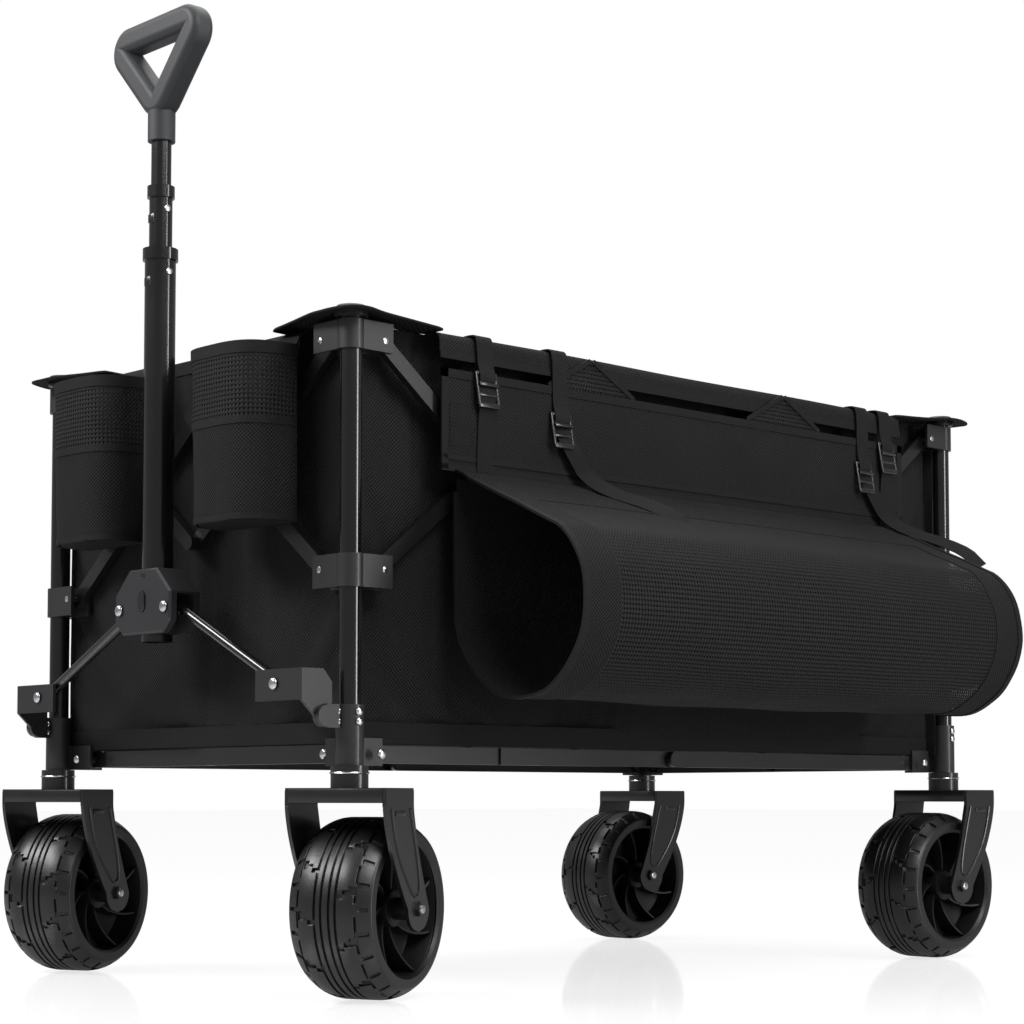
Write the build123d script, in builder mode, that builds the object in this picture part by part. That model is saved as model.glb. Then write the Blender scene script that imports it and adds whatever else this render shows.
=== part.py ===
"""Folding camp wagon: a steel scissor frame on four swivel casters, with a fabric bag and a pull handle.

Frame: +Z up, origin on the ground under the middle of the four posts. The handle end is -Y.
"""
from build123d import *
from math import atan2, cos, degrees, hypot, radians, sin
import os

os.makedirs("parts", exist_ok=True)

# Overall layout, post axis to post axis
track = 593.0
wheelbase = 1095.0

# Levels above the ground
axle_z = 101.5
crown_z = 235.0
foot_bottom = 260.0
rail_z = 273.0
clamp_bottom = 301.0
clamp_top = 327.0
slider_pivot_z = 478.3
top_pivot_z = 736.0
bracket_bottom = 723.0
bracket_top = 756.0
rim_z = 757.0

# Clearances
pin_clearance = 0.05
slide_clearance = 0.3
seat_gap = 0.3
tube_fit = 0.1

# Post and its castings
post_r = 12.5
post_wall = 1.5
casting_r = 16.0
bracket_half = 14.75
bracket_slot_half = 11.0
ear_pivot = 38.0
ear_end = 49.0
slider_above = 16.0
slider_below = 21.0
cap_r = 18.0
cap_height = 13.0

# Scissor bars
scissor_angle = 38.5
bar_width = 18.0
bar_depth = 9.5
bar_web = 1.6
bar_gap = 0.5
boss_r = 6.5
pin_r = 3.0
rivet_head_r = 5.5
rivet_head_h = 1.7

# Base rails
rail_pivot = 45.0
rail_width = 20.0
rail_depth = 8.0
rail_outer_offset = 15.0
rail_plane_gap = 1.0
rail_clearance = 0.5
ear_plate = 3.0
rail_ear_end = 57.0
rail_ear_top = 291.0
splice_at = 236.0
splice_length = 66.0
splice_thickness = 3.0

# Handle
tilt_ahead = 34.0
tilt_z = 314.0
tilt_ear_thickness = 6.0
tilt_ear_r = 12.0
tilt_side_gap = 1.0
handle_ahead = 52.5
strut_pivot_in = 53.5
strut_pivot_z = 350.0
strut_r = 6.5
strut_boss_r = 9.0
strut_boss_length = 13.0
plate_thickness = 4.0
plate_inner = 84.0
plate_bottom = 331.0
plate_top = 366.0
hub_pin_x = 46.0
hub_pin_z = 447.0
hub_half_width = 57.0
hub_depth = 44.0
hub_bottom = 417.0
hub_top = 494.0
hub_slot = 24.0
lower_tube_r = 18.5
lower_tube_wall = 2.0
lower_tube_bottom = 408.0
lower_tube_top = 865.0
mid_tube_r = 13.8
mid_tube_wall = 1.4
mid_tube_bottom = 600.0
mid_tube_top = 941.0
upper_tube_r = 12.0
upper_tube_wall = 1.2
upper_tube_bottom = 662.0
collar_height = 14.0
collar_wall = 2.6
grip_neck_bottom = 1010.0
grip_top_z = 1146.0
grip_apex_z = 1050.0
grip_half = 90.0
grip_r = 15.5
button_width = 14.0
button_height = 24.0
button_recess = 3.0
button_proud = 2.0

# Casters
wheel_r = 101.5
wheel_width = 102.0
hub_r = 82.0
fork_width = 125.0
fork_plate = 4.0
fork_leg_width = 66.0
fork_foot_r = 16.0
fork_drop = 16.0
trail = 45.0
stem_r = 7.0
stem_top = 290.0
collar_r = 21.0
axle_r = 5.0
front_caster_turn = 202.0
rear_caster_turn = 0.0

# Fabric
cloth = 2.5
wall_offset = 15.0
floor_thickness = 12.0
visor_r = 38.0
visor_reach = 110.0
visor_thickness = 2.5
pocket_width = 148.0
pocket_depth = 76.0
pocket_bottom = 536.0
pocket_top = 741.0
pocket_corner = 30.0
pocket_offset = 146.0
pocket_stand = 14.0
tab_z = 741.0
tab_width = 40.0
panel_stand = 15.5
panel_half_length = 430.0
panel_top = 716.0
panel_bottom = 600.0
seam_overlap = 20.0
sling_half_length = 405.0
sling_r = 108.0
sling_z = 440.0
strap_width = 38.0
strap_places = (-364.0, -242.0, 341.0, 391.0)

half_x = track / 2
half_y = wheelbase / 2
lean = radians(scissor_angle)
post_arm = (top_pivot_z - slider_pivot_z) / 2 / sin(lean)
end_arm = (track - 2 * ear_pivot) / 2 / cos(lean) - post_arm
side_arm = ((wheelbase - 2 * ear_pivot) / cos(lean) - 2 * post_arm) / 4
cross_z = top_pivot_z - post_arm * sin(lean)
rail_top = rail_z + rail_width / 2
floor_bottom = rail_top + seat_gap
handle_y = -half_y - handle_ahead
tilt_y = -half_y - tilt_ahead

UP = Vector(0, 0, 1)
# Each corner: place of the post axis and the signs that point away from the middle
corners = {
    "front_right": (1, -1),
    "front_left": (-1, -1),
    "rear_right": (1, 1),
    "rear_left": (-1, 1),
}


def save(builder, name):
    """Labels a finished piece and writes it as its own STEP file."""
    builder.part.label = name
    export_step(builder.part, f"parts/{name}.step")


def corner_point(name):
    """The post axis of a corner, on the ground."""
    sx, sy = corners[name]
    return Vector(sx * half_x, sy * half_y, 0)


def arm_planes(name):
    """Two vertical planes through a post axis: x runs along the side towards the middle, z points outward."""
    sx, sy = corners[name]
    here = corner_point(name)
    along_x = Plane(origin=here, x_dir=(-sx, 0, 0), z_dir=(0, sy, 0))
    along_y = Plane(origin=here, x_dir=(0, -sy, 0), z_dir=(sx, 0, 0))
    return along_x, along_y


def level(plane, z):
    """The height z in a vertical plane's own second direction, which may point down."""
    return z * plane.y_dir.Z


def bored_block(name, bottom, top, bore_r):
    """The L-shaped bracket round a post, with a slotted ear along each side of the frame."""
    sx, sy = corners[name]
    base = Plane(origin=corner_point(name) + UP * bottom)
    slot_length = ear_end - casting_r + 1
    middle = casting_r + slot_length / 2
    with BuildPart() as block:
        with BuildSketch(base):
            Circle(casting_r)
            with Locations((-sx * ear_end / 2, 0)):
                Rectangle(ear_end, 2 * bracket_half)
            with Locations((0, -sy * ear_end / 2)):
                Rectangle(2 * bracket_half, ear_end)
        extrude(amount=top - bottom)
        with BuildSketch(base):
            Circle(bore_r)
            with Locations((-sx * middle, 0)):
                Rectangle(slot_length, 2 * bracket_slot_half)
            with Locations((0, -sy * middle)):
                Rectangle(2 * bracket_slot_half, slot_length)
        extrude(amount=top - bottom, mode=Mode.SUBTRACT)
    return block.part


def ear_pins(name, z):
    """The two pivot pins across a bracket's ears."""
    with BuildPart() as pins:
        for plane in arm_planes(name):
            with BuildSketch(plane):
                with Locations((ear_pivot, level(plane, z))):
                    Circle(pin_r)
            extrude(amount=bracket_half, both=True)
    return pins.part


def rail_offset(outer):
    """Distance from the post axis inward to a rail's outer face, for the outer or the inner rail plane."""
    return rail_outer_offset + (0 if outer else rail_depth + rail_plane_gap)


# Which half rails run in the outer of the two rail planes, along X and along Y
outer_rail_x = {"front_right": True, "front_left": False, "rear_left": True, "rear_right": False}
outer_rail_y = {"front_right": False, "front_left": True, "rear_left": False, "rear_right": True}


def rail_ears(name):
    """The plates and pins that carry the two half rails at a post's foot."""
    outer = (outer_rail_x[name], outer_rail_y[name])
    with BuildPart() as ears:
        for plane, is_outer in zip(arm_planes(name), outer):
            face = plane.offset(rail_clearance - rail_outer_offset)
            pivot = (rail_pivot, level(plane, rail_z))
            reach = rail_offset(is_outer) - rail_outer_offset
            with BuildSketch(face):
                with Locations((rail_ear_end / 2, level(plane, (rail_ear_top + foot_bottom) / 2))):
                    Rectangle(rail_ear_end, rail_ear_top - foot_bottom)
            extrude(amount=ear_plate)
            with BuildSketch(face):
                with Locations(pivot):
                    Circle(pin_r)
            extrude(amount=-(reach + rail_clearance + rail_depth))
            if reach:
                with BuildSketch(face):
                    with Locations(pivot):
                        Circle(boss_r)
                extrude(amount=-reach)
    return ears.part


def tilt_ear(name):
    """The ear and pin at a front post's foot that the handle bracket tilts on."""
    sx = corners[name][0]
    plane = Plane(origin=(sx * half_x, -half_y, 0), x_dir=(0, -1, 0), z_dir=(-sx, 0, 0))
    pivot = (tilt_ahead, level(plane, tilt_z))
    shank = tilt_ear_thickness / 2 + tilt_side_gap + plate_thickness + seat_gap
    with BuildPart() as ear:
        with BuildSketch(plane):
            with Locations((tilt_ahead / 2, level(plane, (clamp_bottom + clamp_top) / 2))):
                Rectangle(tilt_ahead, clamp_top - clamp_bottom)
            with Locations(pivot):
                Circle(tilt_ear_r)
        extrude(amount=tilt_ear_thickness / 2, both=True)
        with BuildSketch(plane):
            with Locations(pivot):
                Circle(pin_r)
        extrude(amount=shank)
        with BuildSketch(plane.offset(shank)):
            with Locations(pivot):
                Circle(rivet_head_r)
        extrude(amount=rivet_head_h)
    return ear.part


def make_post(name):
    """A post with its tube, foot casting, top bracket and cap, each a solid of its own."""
    here = corner_point(name)
    visor_top = bracket_top + seat_gap + visor_thickness
    tube_top = visor_top + cap_height - 4
    with BuildPart() as tube:
        with BuildSketch(Plane(origin=here + UP * (clamp_bottom + tube_fit))):
            Circle(post_r)
            Circle(post_r - post_wall, mode=Mode.SUBTRACT)
        extrude(amount=tube_top - clamp_bottom - tube_fit)
    with BuildPart() as foot:
        with BuildSketch(Plane(origin=here + UP * foot_bottom)):
            Circle(casting_r)
        extrude(amount=clamp_top - foot_bottom)
        add(rail_ears(name))
        if name.startswith("front"):
            add(tilt_ear(name))
        with BuildSketch(Plane(origin=here + UP * clamp_bottom)):
            Circle(post_r + tube_fit)
        extrude(amount=clamp_top - clamp_bottom, mode=Mode.SUBTRACT)
        with BuildSketch(Plane(origin=here + UP * foot_bottom)):
            Circle(stem_r + pin_clearance)
        extrude(amount=stem_top + 1 - foot_bottom, mode=Mode.SUBTRACT)
    with BuildPart() as bracket:
        add(bored_block(name, bracket_bottom, bracket_top, post_r + tube_fit))
        add(ear_pins(name, top_pivot_z))
    with BuildPart() as cap:
        with BuildSketch(Plane(origin=here + UP * (visor_top + seat_gap))):
            Circle(cap_r)
        extrude(amount=cap_height)
        chamfer(cap.faces().sort_by(Axis.Z)[-1].edges(), 2)
        with BuildSketch(Plane(origin=here + UP * (visor_top + seat_gap))):
            Circle(post_r + tube_fit)
        extrude(amount=tube_top + tube_fit - visor_top - seat_gap, mode=Mode.SUBTRACT)
    with BuildPart() as post:
        add(tube.part)
        add(foot.part)
        add(bracket.part)
        add(cap.part)
    return post


def make_slider(name):
    """The block that slides on a post and carries the lower ends of its scissor bars."""
    bottom = slider_pivot_z - slider_below
    top = slider_pivot_z + slider_above
    with BuildPart() as slider:
        add(bored_block(name, bottom, top, post_r + slide_clearance))
        add(ear_pins(name, slider_pivot_z))
    return slider


def channel(plane, start, end, width, depth, holes, solids=()):
    """A pressed channel with round ends between two points. It has bosses, bored at the holes."""
    middle = ((start[0] + end[0]) / 2, (start[1] + end[1]) / 2)
    length = hypot(end[0] - start[0], end[1] - start[1])
    turn = degrees(atan2(end[1] - start[1], end[0] - start[0]))
    with BuildPart() as bar:
        with BuildSketch(plane):
            with Locations(middle):
                SlotCenterToCenter(length, width, rotation=turn)
        extrude(amount=depth)
        with BuildSketch(plane):
            with Locations(middle):
                SlotCenterToCenter(length, width - 2 * bar_web, rotation=turn)
            with Locations(*holes, *solids):
                Circle(boss_r, mode=Mode.SUBTRACT)
        extrude(amount=depth - bar_web, mode=Mode.SUBTRACT)
        if holes:
            with BuildSketch(plane):
                with Locations(*holes):
                    Circle(pin_r + pin_clearance)
            extrude(amount=depth, mode=Mode.SUBTRACT)
    return bar.part


def bar_pins(plane, places):
    """Rivets that stand on a down bar and pass through the up bar behind it."""
    shank = 2 * bar_gap + bar_depth + seat_gap
    with BuildPart() as pins:
        with BuildSketch(plane):
            with Locations(*places):
                Circle(pin_r)
        extrude(amount=-shank)
        with BuildSketch(plane.offset(-shank)):
            with Locations(*places):
                Circle(rivet_head_r)
        extrude(amount=-rivet_head_h)
    return pins.part


# Each side of the frame, counter-clockwise: its first post, its direction, its outward normal, its arm lengths
sides = {
    "right": ("front_right", (0, 1, 0), (1, 0, 0), (post_arm, side_arm, side_arm, post_arm)),
    "rear": ("rear_right", (-1, 0, 0), (0, 1, 0), (post_arm, end_arm, post_arm)),
    "left": ("rear_left", (0, -1, 0), (-1, 0, 0), (post_arm, side_arm, side_arm, post_arm)),
    "front": ("front_left", (1, 0, 0), (0, -1, 0), (post_arm, end_arm, post_arm)),
}


def make_bars(side):
    """Yields each scissor bar of a side by name. Down bars are in the outer plane and up bars in the inner one."""
    first, along, out, arms = sides[side]
    plane = Plane(origin=corner_point(first), x_dir=along, z_dir=out)
    crossings = len(arms) - 1
    start = ear_pivot
    for i in range(crossings):
        left, right = arms[i], arms[i + 1]
        middle = start + left * cos(lean)
        end = middle + right * cos(lean)
        cross = (middle, cross_z)
        first_x, last_x = i == 0, i == crossings - 1
        head = (start, cross_z + left * sin(lean))
        foot = (end, cross_z - right * sin(lean))
        pins = [cross] + ([] if first_x else [head]) + ([] if last_x else [foot])
        holes = ([head] if first_x else []) + ([foot] if last_x else [])
        outer = plane.offset(bar_gap)
        with BuildPart() as down:
            add(channel(outer, head, foot, bar_width, bar_depth, holes, pins))
            add(bar_pins(outer, pins))
        yield f"{side}_bar_down_{i + 1}", down
        toe = (start, cross_z - left * sin(lean))
        tip = (end, cross_z + right * sin(lean))
        inner = plane.offset(-bar_gap - bar_depth)
        with BuildPart() as up:
            add(channel(inner, toe, tip, bar_width, bar_depth, [toe, cross, tip]))
        yield f"{side}_bar_up_{i + 1}", up
        start = end


def make_rails(name):
    """Yields the two half rails that hinge at a post's foot, along X and along Y."""
    reaches = (half_x - rail_pivot, half_y - rail_pivot)
    outers = (outer_rail_x[name], outer_rail_y[name])
    kinds = ("end_rail", "side_rail")
    for plane, reach, is_outer, kind in zip(arm_planes(name), reaches, outers, kinds):
        face = plane.offset(-rail_offset(is_outer) - rail_depth)
        z = level(plane, rail_z)
        hinge = (rail_pivot, z)
        middle = (rail_pivot + reach - 2 * seat_gap, z)
        with BuildPart() as rail:
            add(channel(face, hinge, middle, rail_width, rail_depth, [hinge], [middle]))
            if name == "front_right" and kind == "side_rail":
                with BuildSketch(plane.offset(-rail_offset(is_outer))):
                    with Locations((rail_pivot + splice_at, z)):
                        Rectangle(splice_length, rail_width)
                extrude(amount=splice_thickness)
        yield f"{kind}_{name}", rail


def make_fork(base):
    """A caster's fork with its crown, stem and collar, and its axle bolt as a second solid."""
    half = fork_width / 2
    leg_top = crown_z - fork_plate
    across = Plane(origin=base.origin, x_dir=base.y_dir * -1, z_dir=base.x_dir)
    up = across.y_dir.Z
    with BuildPart() as body:
        with BuildSketch(Plane(origin=base.origin + UP * leg_top, x_dir=base.x_dir)):
            Rectangle(fork_width, fork_leg_width)
        extrude(amount=fork_plate)
        for side in (-1, 1):
            inner = across.offset(side * (half - fork_plate / 2))
            with BuildSketch(inner):
                with BuildLine():
                    Polyline(
                        (-fork_leg_width / 2, up * leg_top),
                        (fork_leg_width / 2, up * leg_top),
                        (fork_leg_width / 2, up * (leg_top - fork_drop)),
                        (trail + fork_foot_r * 0.96, up * (axle_z + fork_foot_r * 0.3)),
                        (trail - fork_foot_r * 0.96, up * (axle_z - fork_foot_r * 0.3)),
                        (-fork_leg_width / 2, up * (leg_top - fork_drop)),
                        close=True,
                    )
                make_face()
                with Locations((trail, up * axle_z)):
                    Circle(fork_foot_r)
                with Locations((trail, up * axle_z)):
                    Circle(axle_r + pin_clearance, mode=Mode.SUBTRACT)
            extrude(amount=fork_plate / 2, both=True)
        with BuildSketch(Plane(origin=base.origin + UP * crown_z)):
            Circle(collar_r)
        extrude(amount=foot_bottom - crown_z - seat_gap)
        with BuildSketch(Plane(origin=base.origin + UP * crown_z)):
            Circle(stem_r)
        extrude(amount=stem_top - crown_z)
    with BuildPart() as axle:
        with BuildSketch(across):
            with Locations((trail, up * axle_z)):
                Circle(axle_r)
        extrude(amount=half, both=True)
        for side in (-1, 1):
            with BuildSketch(across.offset(side * (half + tube_fit))):
                with Locations((trail, up * axle_z)):
                    RegularPolygon(axle_r + 4, 6)
            extrude(amount=side * 5)
    with BuildPart() as fork:
        add(body.part)
        add(axle.part)
    return fork


def make_wheel(base):
    """A wheel: a moulded tyre round a spoked hub, as two solids."""
    across = Plane(origin=base.origin, x_dir=base.y_dir * -1, z_dir=base.x_dir)
    centre = across.from_local_coords(Vector(trail, across.y_dir.Z * axle_z, 0))
    middle = Plane(origin=centre, x_dir=across.x_dir, z_dir=across.z_dir)
    half = wheel_width / 2
    boss_half = fork_width / 2 - fork_plate - 1
    with BuildPart() as tyre:
        with BuildSketch(middle):
            Circle(wheel_r)
        extrude(amount=half, both=True)
        fillet(tyre.edges(), 14)
        with BuildSketch(middle):
            Circle(hub_r + tube_fit)
        extrude(amount=half, both=True, mode=Mode.SUBTRACT)
    with BuildPart() as hub:
        with BuildSketch(middle):
            Circle(hub_r)
            Circle(hub_r - 6, mode=Mode.SUBTRACT)
        extrude(amount=half - 6, both=True)
        with BuildSketch(middle):
            Circle(hub_r - 3)
        extrude(amount=4, both=True)
        with BuildSketch(middle):
            Circle(20)
        extrude(amount=half - 16, both=True)
        with BuildSketch(middle):
            Circle(axle_r + 5)
        extrude(amount=boss_half, both=True)
        with BuildSketch(middle):
            with PolarLocations((hub_r + 17) / 2 - 2, 7):
                Rectangle(hub_r - 20, 5)
        extrude(amount=half - 18, both=True)
        with BuildSketch(middle):
            Circle(axle_r + pin_clearance)
        extrude(amount=boss_half, both=True, mode=Mode.SUBTRACT)
    with BuildPart() as wheel:
        add(tyre.part)
        add(hub.part)
    return wheel


def make_tilt_bracket(name):
    """The L-bracket that tilts on a front foot and carries one handle strut."""
    sx = corners[name][0]
    inner_face = half_x - tilt_ear_thickness / 2 - tilt_side_gap
    front = handle_y - strut_boss_length / 2 - 1
    edge = Plane(origin=(sx * inner_face, 0, 0), x_dir=(0, -1, 0), z_dir=(-sx, 0, 0))
    ahead = -front + plate_thickness
    with BuildPart() as bracket:
        with BuildSketch(edge):
            with BuildLine():
                Polyline(
                    (ahead, level(edge, plate_top)),
                    (ahead, level(edge, plate_bottom)),
                    (-tilt_y + tilt_ear_r, level(edge, tilt_z)),
                    (-tilt_y - tilt_ear_r, level(edge, tilt_z)),
                    (-tilt_y - tilt_ear_r, level(edge, plate_top - 14)),
                    (-tilt_y, level(edge, plate_top)),
                    close=True,
                )
            make_face()
            with Locations((-tilt_y, level(edge, tilt_z))):
                Circle(tilt_ear_r)
            with Locations((-tilt_y, level(edge, tilt_z))):
                Circle(pin_r + pin_clearance, mode=Mode.SUBTRACT)
        extrude(amount=plate_thickness)
        face = Plane(origin=(sx * inner_face, front, 0), x_dir=(-sx, 0, 0), z_dir=(0, -1, 0))
        middle = level(face, (plate_bottom + plate_top) / 2)
        with BuildSketch(face):
            with Locations((plate_inner / 2, middle)):
                Rectangle(plate_inner, plate_top - plate_bottom)
        extrude(amount=plate_thickness)
        rivet = (strut_pivot_in - half_x + inner_face, level(face, strut_pivot_z))
        back = strut_boss_length + 1 + seat_gap
        with BuildSketch(face):
            with Locations(rivet):
                Circle(pin_r)
        extrude(amount=-back)
        with BuildSketch(face.offset(-back)):
            with Locations(rivet):
                Circle(rivet_head_r)
        extrude(amount=-rivet_head_h)
    return bracket


def make_strut(name):
    """A round strut from a tilt bracket up to the handle hub, with a bored boss at each end."""
    sx = corners[name][0]
    low = Vector(sx * (half_x - strut_pivot_in), handle_y, strut_pivot_z)
    high = Vector(sx * hub_pin_x, handle_y, hub_pin_z)
    upright = Plane(origin=(0, handle_y, 0), x_dir=(1, 0, 0), z_dir=(0, -1, 0))
    ends = [(low.X, low.Z), (high.X, high.Z)]
    with BuildPart() as strut:
        with BuildSketch(Plane(origin=low, z_dir=high - low)):
            Circle(strut_r)
        extrude(amount=(high - low).length)
        with BuildSketch(upright):
            with Locations(*ends):
                Circle(strut_boss_r)
        extrude(amount=strut_boss_length / 2, both=True)
        with BuildSketch(upright):
            with Locations(*ends):
                Circle(pin_r + pin_clearance)
        extrude(amount=strut_boss_length, both=True, mode=Mode.SUBTRACT)
    return strut


def make_handle_hub():
    """The moulded hub that joins both struts to the handle tube, with a recess for its button."""
    front = Plane(origin=(0, handle_y - hub_depth / 2, 0), x_dir=(1, 0, 0), z_dir=(0, 1, 0))
    up = front.y_dir.Z
    middle = front.offset(hub_depth / 2)
    corner = 15.0
    shoulder = 29.0
    with BuildPart() as hub:
        with BuildSketch(front):
            with BuildLine():
                Polyline(
                    (-hub_half_width + corner, up * hub_bottom),
                    (hub_half_width - corner, up * hub_bottom),
                    (hub_half_width, up * (hub_bottom + corner)),
                    (hub_half_width, up * (hub_top - shoulder)),
                    (hub_half_width - shoulder, up * hub_top),
                    (-hub_half_width + shoulder, up * hub_top),
                    (-hub_half_width, up * (hub_top - shoulder)),
                    (-hub_half_width, up * (hub_bottom + corner)),
                    close=True,
                )
            make_face()
        extrude(amount=hub_depth)
        chamfer(hub.faces().filter_by(Axis.Y).edges(), 2.5)
        slot_top = hub_pin_z + strut_boss_r + 7
        slot_bottom = hub_bottom - 1
        slot_inner = lower_tube_r + 3
        slot_width = hub_half_width - slot_inner + 1
        for side in (-1, 1):
            with BuildSketch(middle):
                with Locations((side * (slot_inner + slot_width / 2), up * (slot_top + slot_bottom) / 2)):
                    Rectangle(slot_width, slot_top - slot_bottom)
            extrude(amount=hub_slot / 2, both=True, mode=Mode.SUBTRACT)
        with BuildSketch(middle):
            with Locations((hub_pin_x, up * hub_pin_z)):
                Circle(pin_r)
        extrude(amount=hub_slot / 2 + 1, both=True)
        with BuildSketch(Plane.XY.offset(hub_bottom - 1)):
            with Locations((0, handle_y)):
                Circle(lower_tube_r + tube_fit)
        extrude(amount=hub_top - hub_bottom + 2, mode=Mode.SUBTRACT)
        with BuildSketch(front):
            with Locations((0, up * (hub_bottom + hub_top) / 2)):
                SlotOverall(button_height + 1, button_width + 1, rotation=90)
        extrude(amount=button_recess, mode=Mode.SUBTRACT)
    return hub


def make_release_button():
    """The oval release button in the hub's front face."""
    start = handle_y - hub_depth / 2 - button_proud
    face = Plane(origin=(0, start, 0), x_dir=(1, 0, 0), z_dir=(0, 1, 0))
    with BuildPart() as button:
        with BuildSketch(face):
            with Locations((0, face.y_dir.Z * (hub_bottom + hub_top) / 2)):
                SlotOverall(button_height, button_width, rotation=90)
        extrude(amount=button_recess - seat_gap + 0.05)
        chamfer(button.faces().sort_by(Axis.Y)[0].edges(), 0.6)
    return button


def make_tube(radius, wall, bottom, top, collar_bore=0.0, guide_r=0.0):
    """One stage of the handle: a tube with a guide ring at its foot and a collar on its top."""
    at = Vector(0, handle_y, 0)
    with BuildPart() as stage:
        with BuildSketch(Plane(origin=at + UP * bottom)):
            Circle(radius)
        extrude(amount=top - bottom)
        if guide_r:
            with BuildSketch(Plane(origin=at + UP * bottom)):
                Circle(guide_r)
            extrude(amount=collar_height)
        with BuildSketch(Plane(origin=at + UP * bottom)):
            Circle(radius - wall)
        extrude(amount=top - bottom, mode=Mode.SUBTRACT)
        if collar_bore:
            with BuildSketch(Plane(origin=at + UP * top)):
                Circle(radius + collar_wall)
            extrude(amount=collar_height)
            with BuildSketch(Plane(origin=at + UP * top)):
                Circle(collar_bore)
            extrude(amount=collar_height, mode=Mode.SUBTRACT)
    return stage


def make_grip():
    """The closed triangular grip and its neck."""
    upright = Plane(origin=(0, handle_y, 0), x_dir=(1, 0, 0), z_dir=(0, -1, 0))
    with BuildPart() as grip:
        with BuildSketch(upright):
            with BuildLine():
                FilletPolyline(
                    (-grip_half, grip_top_z),
                    (grip_half, grip_top_z),
                    (0, grip_apex_z),
                    radius=14,
                    close=True,
                )
            make_face()
            offset(amount=grip_r, kind=Kind.ARC)
            with BuildLine():
                FilletPolyline(
                    (-grip_half, grip_top_z),
                    (grip_half, grip_top_z),
                    (0, grip_apex_z),
                    radius=14,
                    close=True,
                )
            face = make_face(mode=Mode.PRIVATE)
            add(offset(face, amount=-grip_r, mode=Mode.PRIVATE), mode=Mode.SUBTRACT)
        extrude(amount=grip_r, both=True)
        fillet(grip.faces().filter_by(Axis.Y).edges(), grip_r * 0.6)
        with BuildSketch(Plane(origin=(0, handle_y, grip_neck_bottom))):
            Circle(grip_r + 1)
        extrude(amount=grip_apex_z - grip_r - grip_neck_bottom + 12)
        with BuildSketch(Plane(origin=(0, handle_y, grip_neck_bottom))):
            Circle(upper_tube_r + tube_fit)
        extrude(amount=upper_tube_top - grip_neck_bottom, mode=Mode.SUBTRACT)
    return grip


def slab(low, high):
    """A rectangular block between two corners."""
    middle = Vector(*low).add(Vector(*high)) / 2
    size = [b - a for a, b in zip(low, high)]
    with BuildPart() as block:
        with Locations(middle):
            Box(*size)
    return block.part


def visor(name):
    """The fabric flap over a post: round outside the post, tapering along both rims."""
    sx, sy = corners[name]
    inside = wall_offset + cloth
    wings = (
        ((0, sy * visor_r), (-sx * visor_reach, sy * wall_offset), (0, -sy * inside)),
        ((sx * visor_r, 0), (sx * wall_offset, -sy * visor_reach), (-sx * inside, 0)),
    )
    with BuildPart() as flap:
        with BuildSketch(Plane(origin=corner_point(name) + UP * (bracket_top + seat_gap))):
            Circle(visor_r)
            for wing in wings:
                with BuildLine():
                    Polyline(*wing, close=True)
                make_face()
            with Locations((-sx * (inside + visor_reach), -sy * (inside + visor_reach))):
                Rectangle(2 * visor_reach, 2 * visor_reach, mode=Mode.SUBTRACT)
            Circle(post_r + tube_fit, mode=Mode.SUBTRACT)
        extrude(amount=visor_thickness)
    return flap.part


def bottle_pockets():
    """Two open bottle pockets that hang in front of the front wall."""
    back = -half_y - pocket_stand
    wall_face = -half_y + wall_offset - seat_gap
    with BuildPart() as pockets:
        for side in (-1, 1):
            centre = (side * pocket_offset, back - pocket_depth / 2)
            for grow, mode in ((0, Mode.ADD), (cloth, Mode.SUBTRACT)):
                with BuildSketch(Plane.XY.offset(pocket_bottom + grow)) as outline:
                    with Locations(centre):
                        Rectangle(pocket_width - 2 * grow, pocket_depth - 2 * grow)
                    fillet(outline.vertices().sort_by(Axis.Y)[:2], pocket_corner - grow)
                extrude(amount=pocket_top - pocket_bottom - grow, mode=mode)
            low = (centre[0] - tab_width / 2, back - cloth, tab_z)
            high = (centre[0] + tab_width / 2, wall_face, tab_z + cloth)
            add(slab(low, high))
    return pockets.part


def make_wall(name):
    """One wall of the bag and the flap at its corner, each a solid."""
    edge_x = half_x - wall_offset
    edge_y = half_y - wall_offset
    side_y = edge_y - cloth - seat_gap
    places = {
        "front_right": ((edge_x - cloth, -side_y), (edge_x, side_y)),
        "rear_left": ((-edge_x, -side_y), (-edge_x + cloth, side_y)),
        "front_left": ((-edge_x, -edge_y), (edge_x, -edge_y + cloth)),
        "rear_right": ((-edge_x, edge_y - cloth), (edge_x, edge_y)),
    }
    low, high = places[name]
    with BuildPart() as wall:
        add(slab((*low, floor_bottom), (*high, bracket_top)))
        add(visor(name))
        if name == "front_left":
            add(bottle_pockets())
    return wall


def make_floor():
    """The padded floor board inside the bag."""
    x = half_x - wall_offset - cloth - seat_gap
    y = half_y - wall_offset - cloth - seat_gap
    with BuildPart() as floor:
        add(slab((-x, -y, floor_bottom), (x, y, floor_bottom + floor_thickness)))
    return floor


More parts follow.
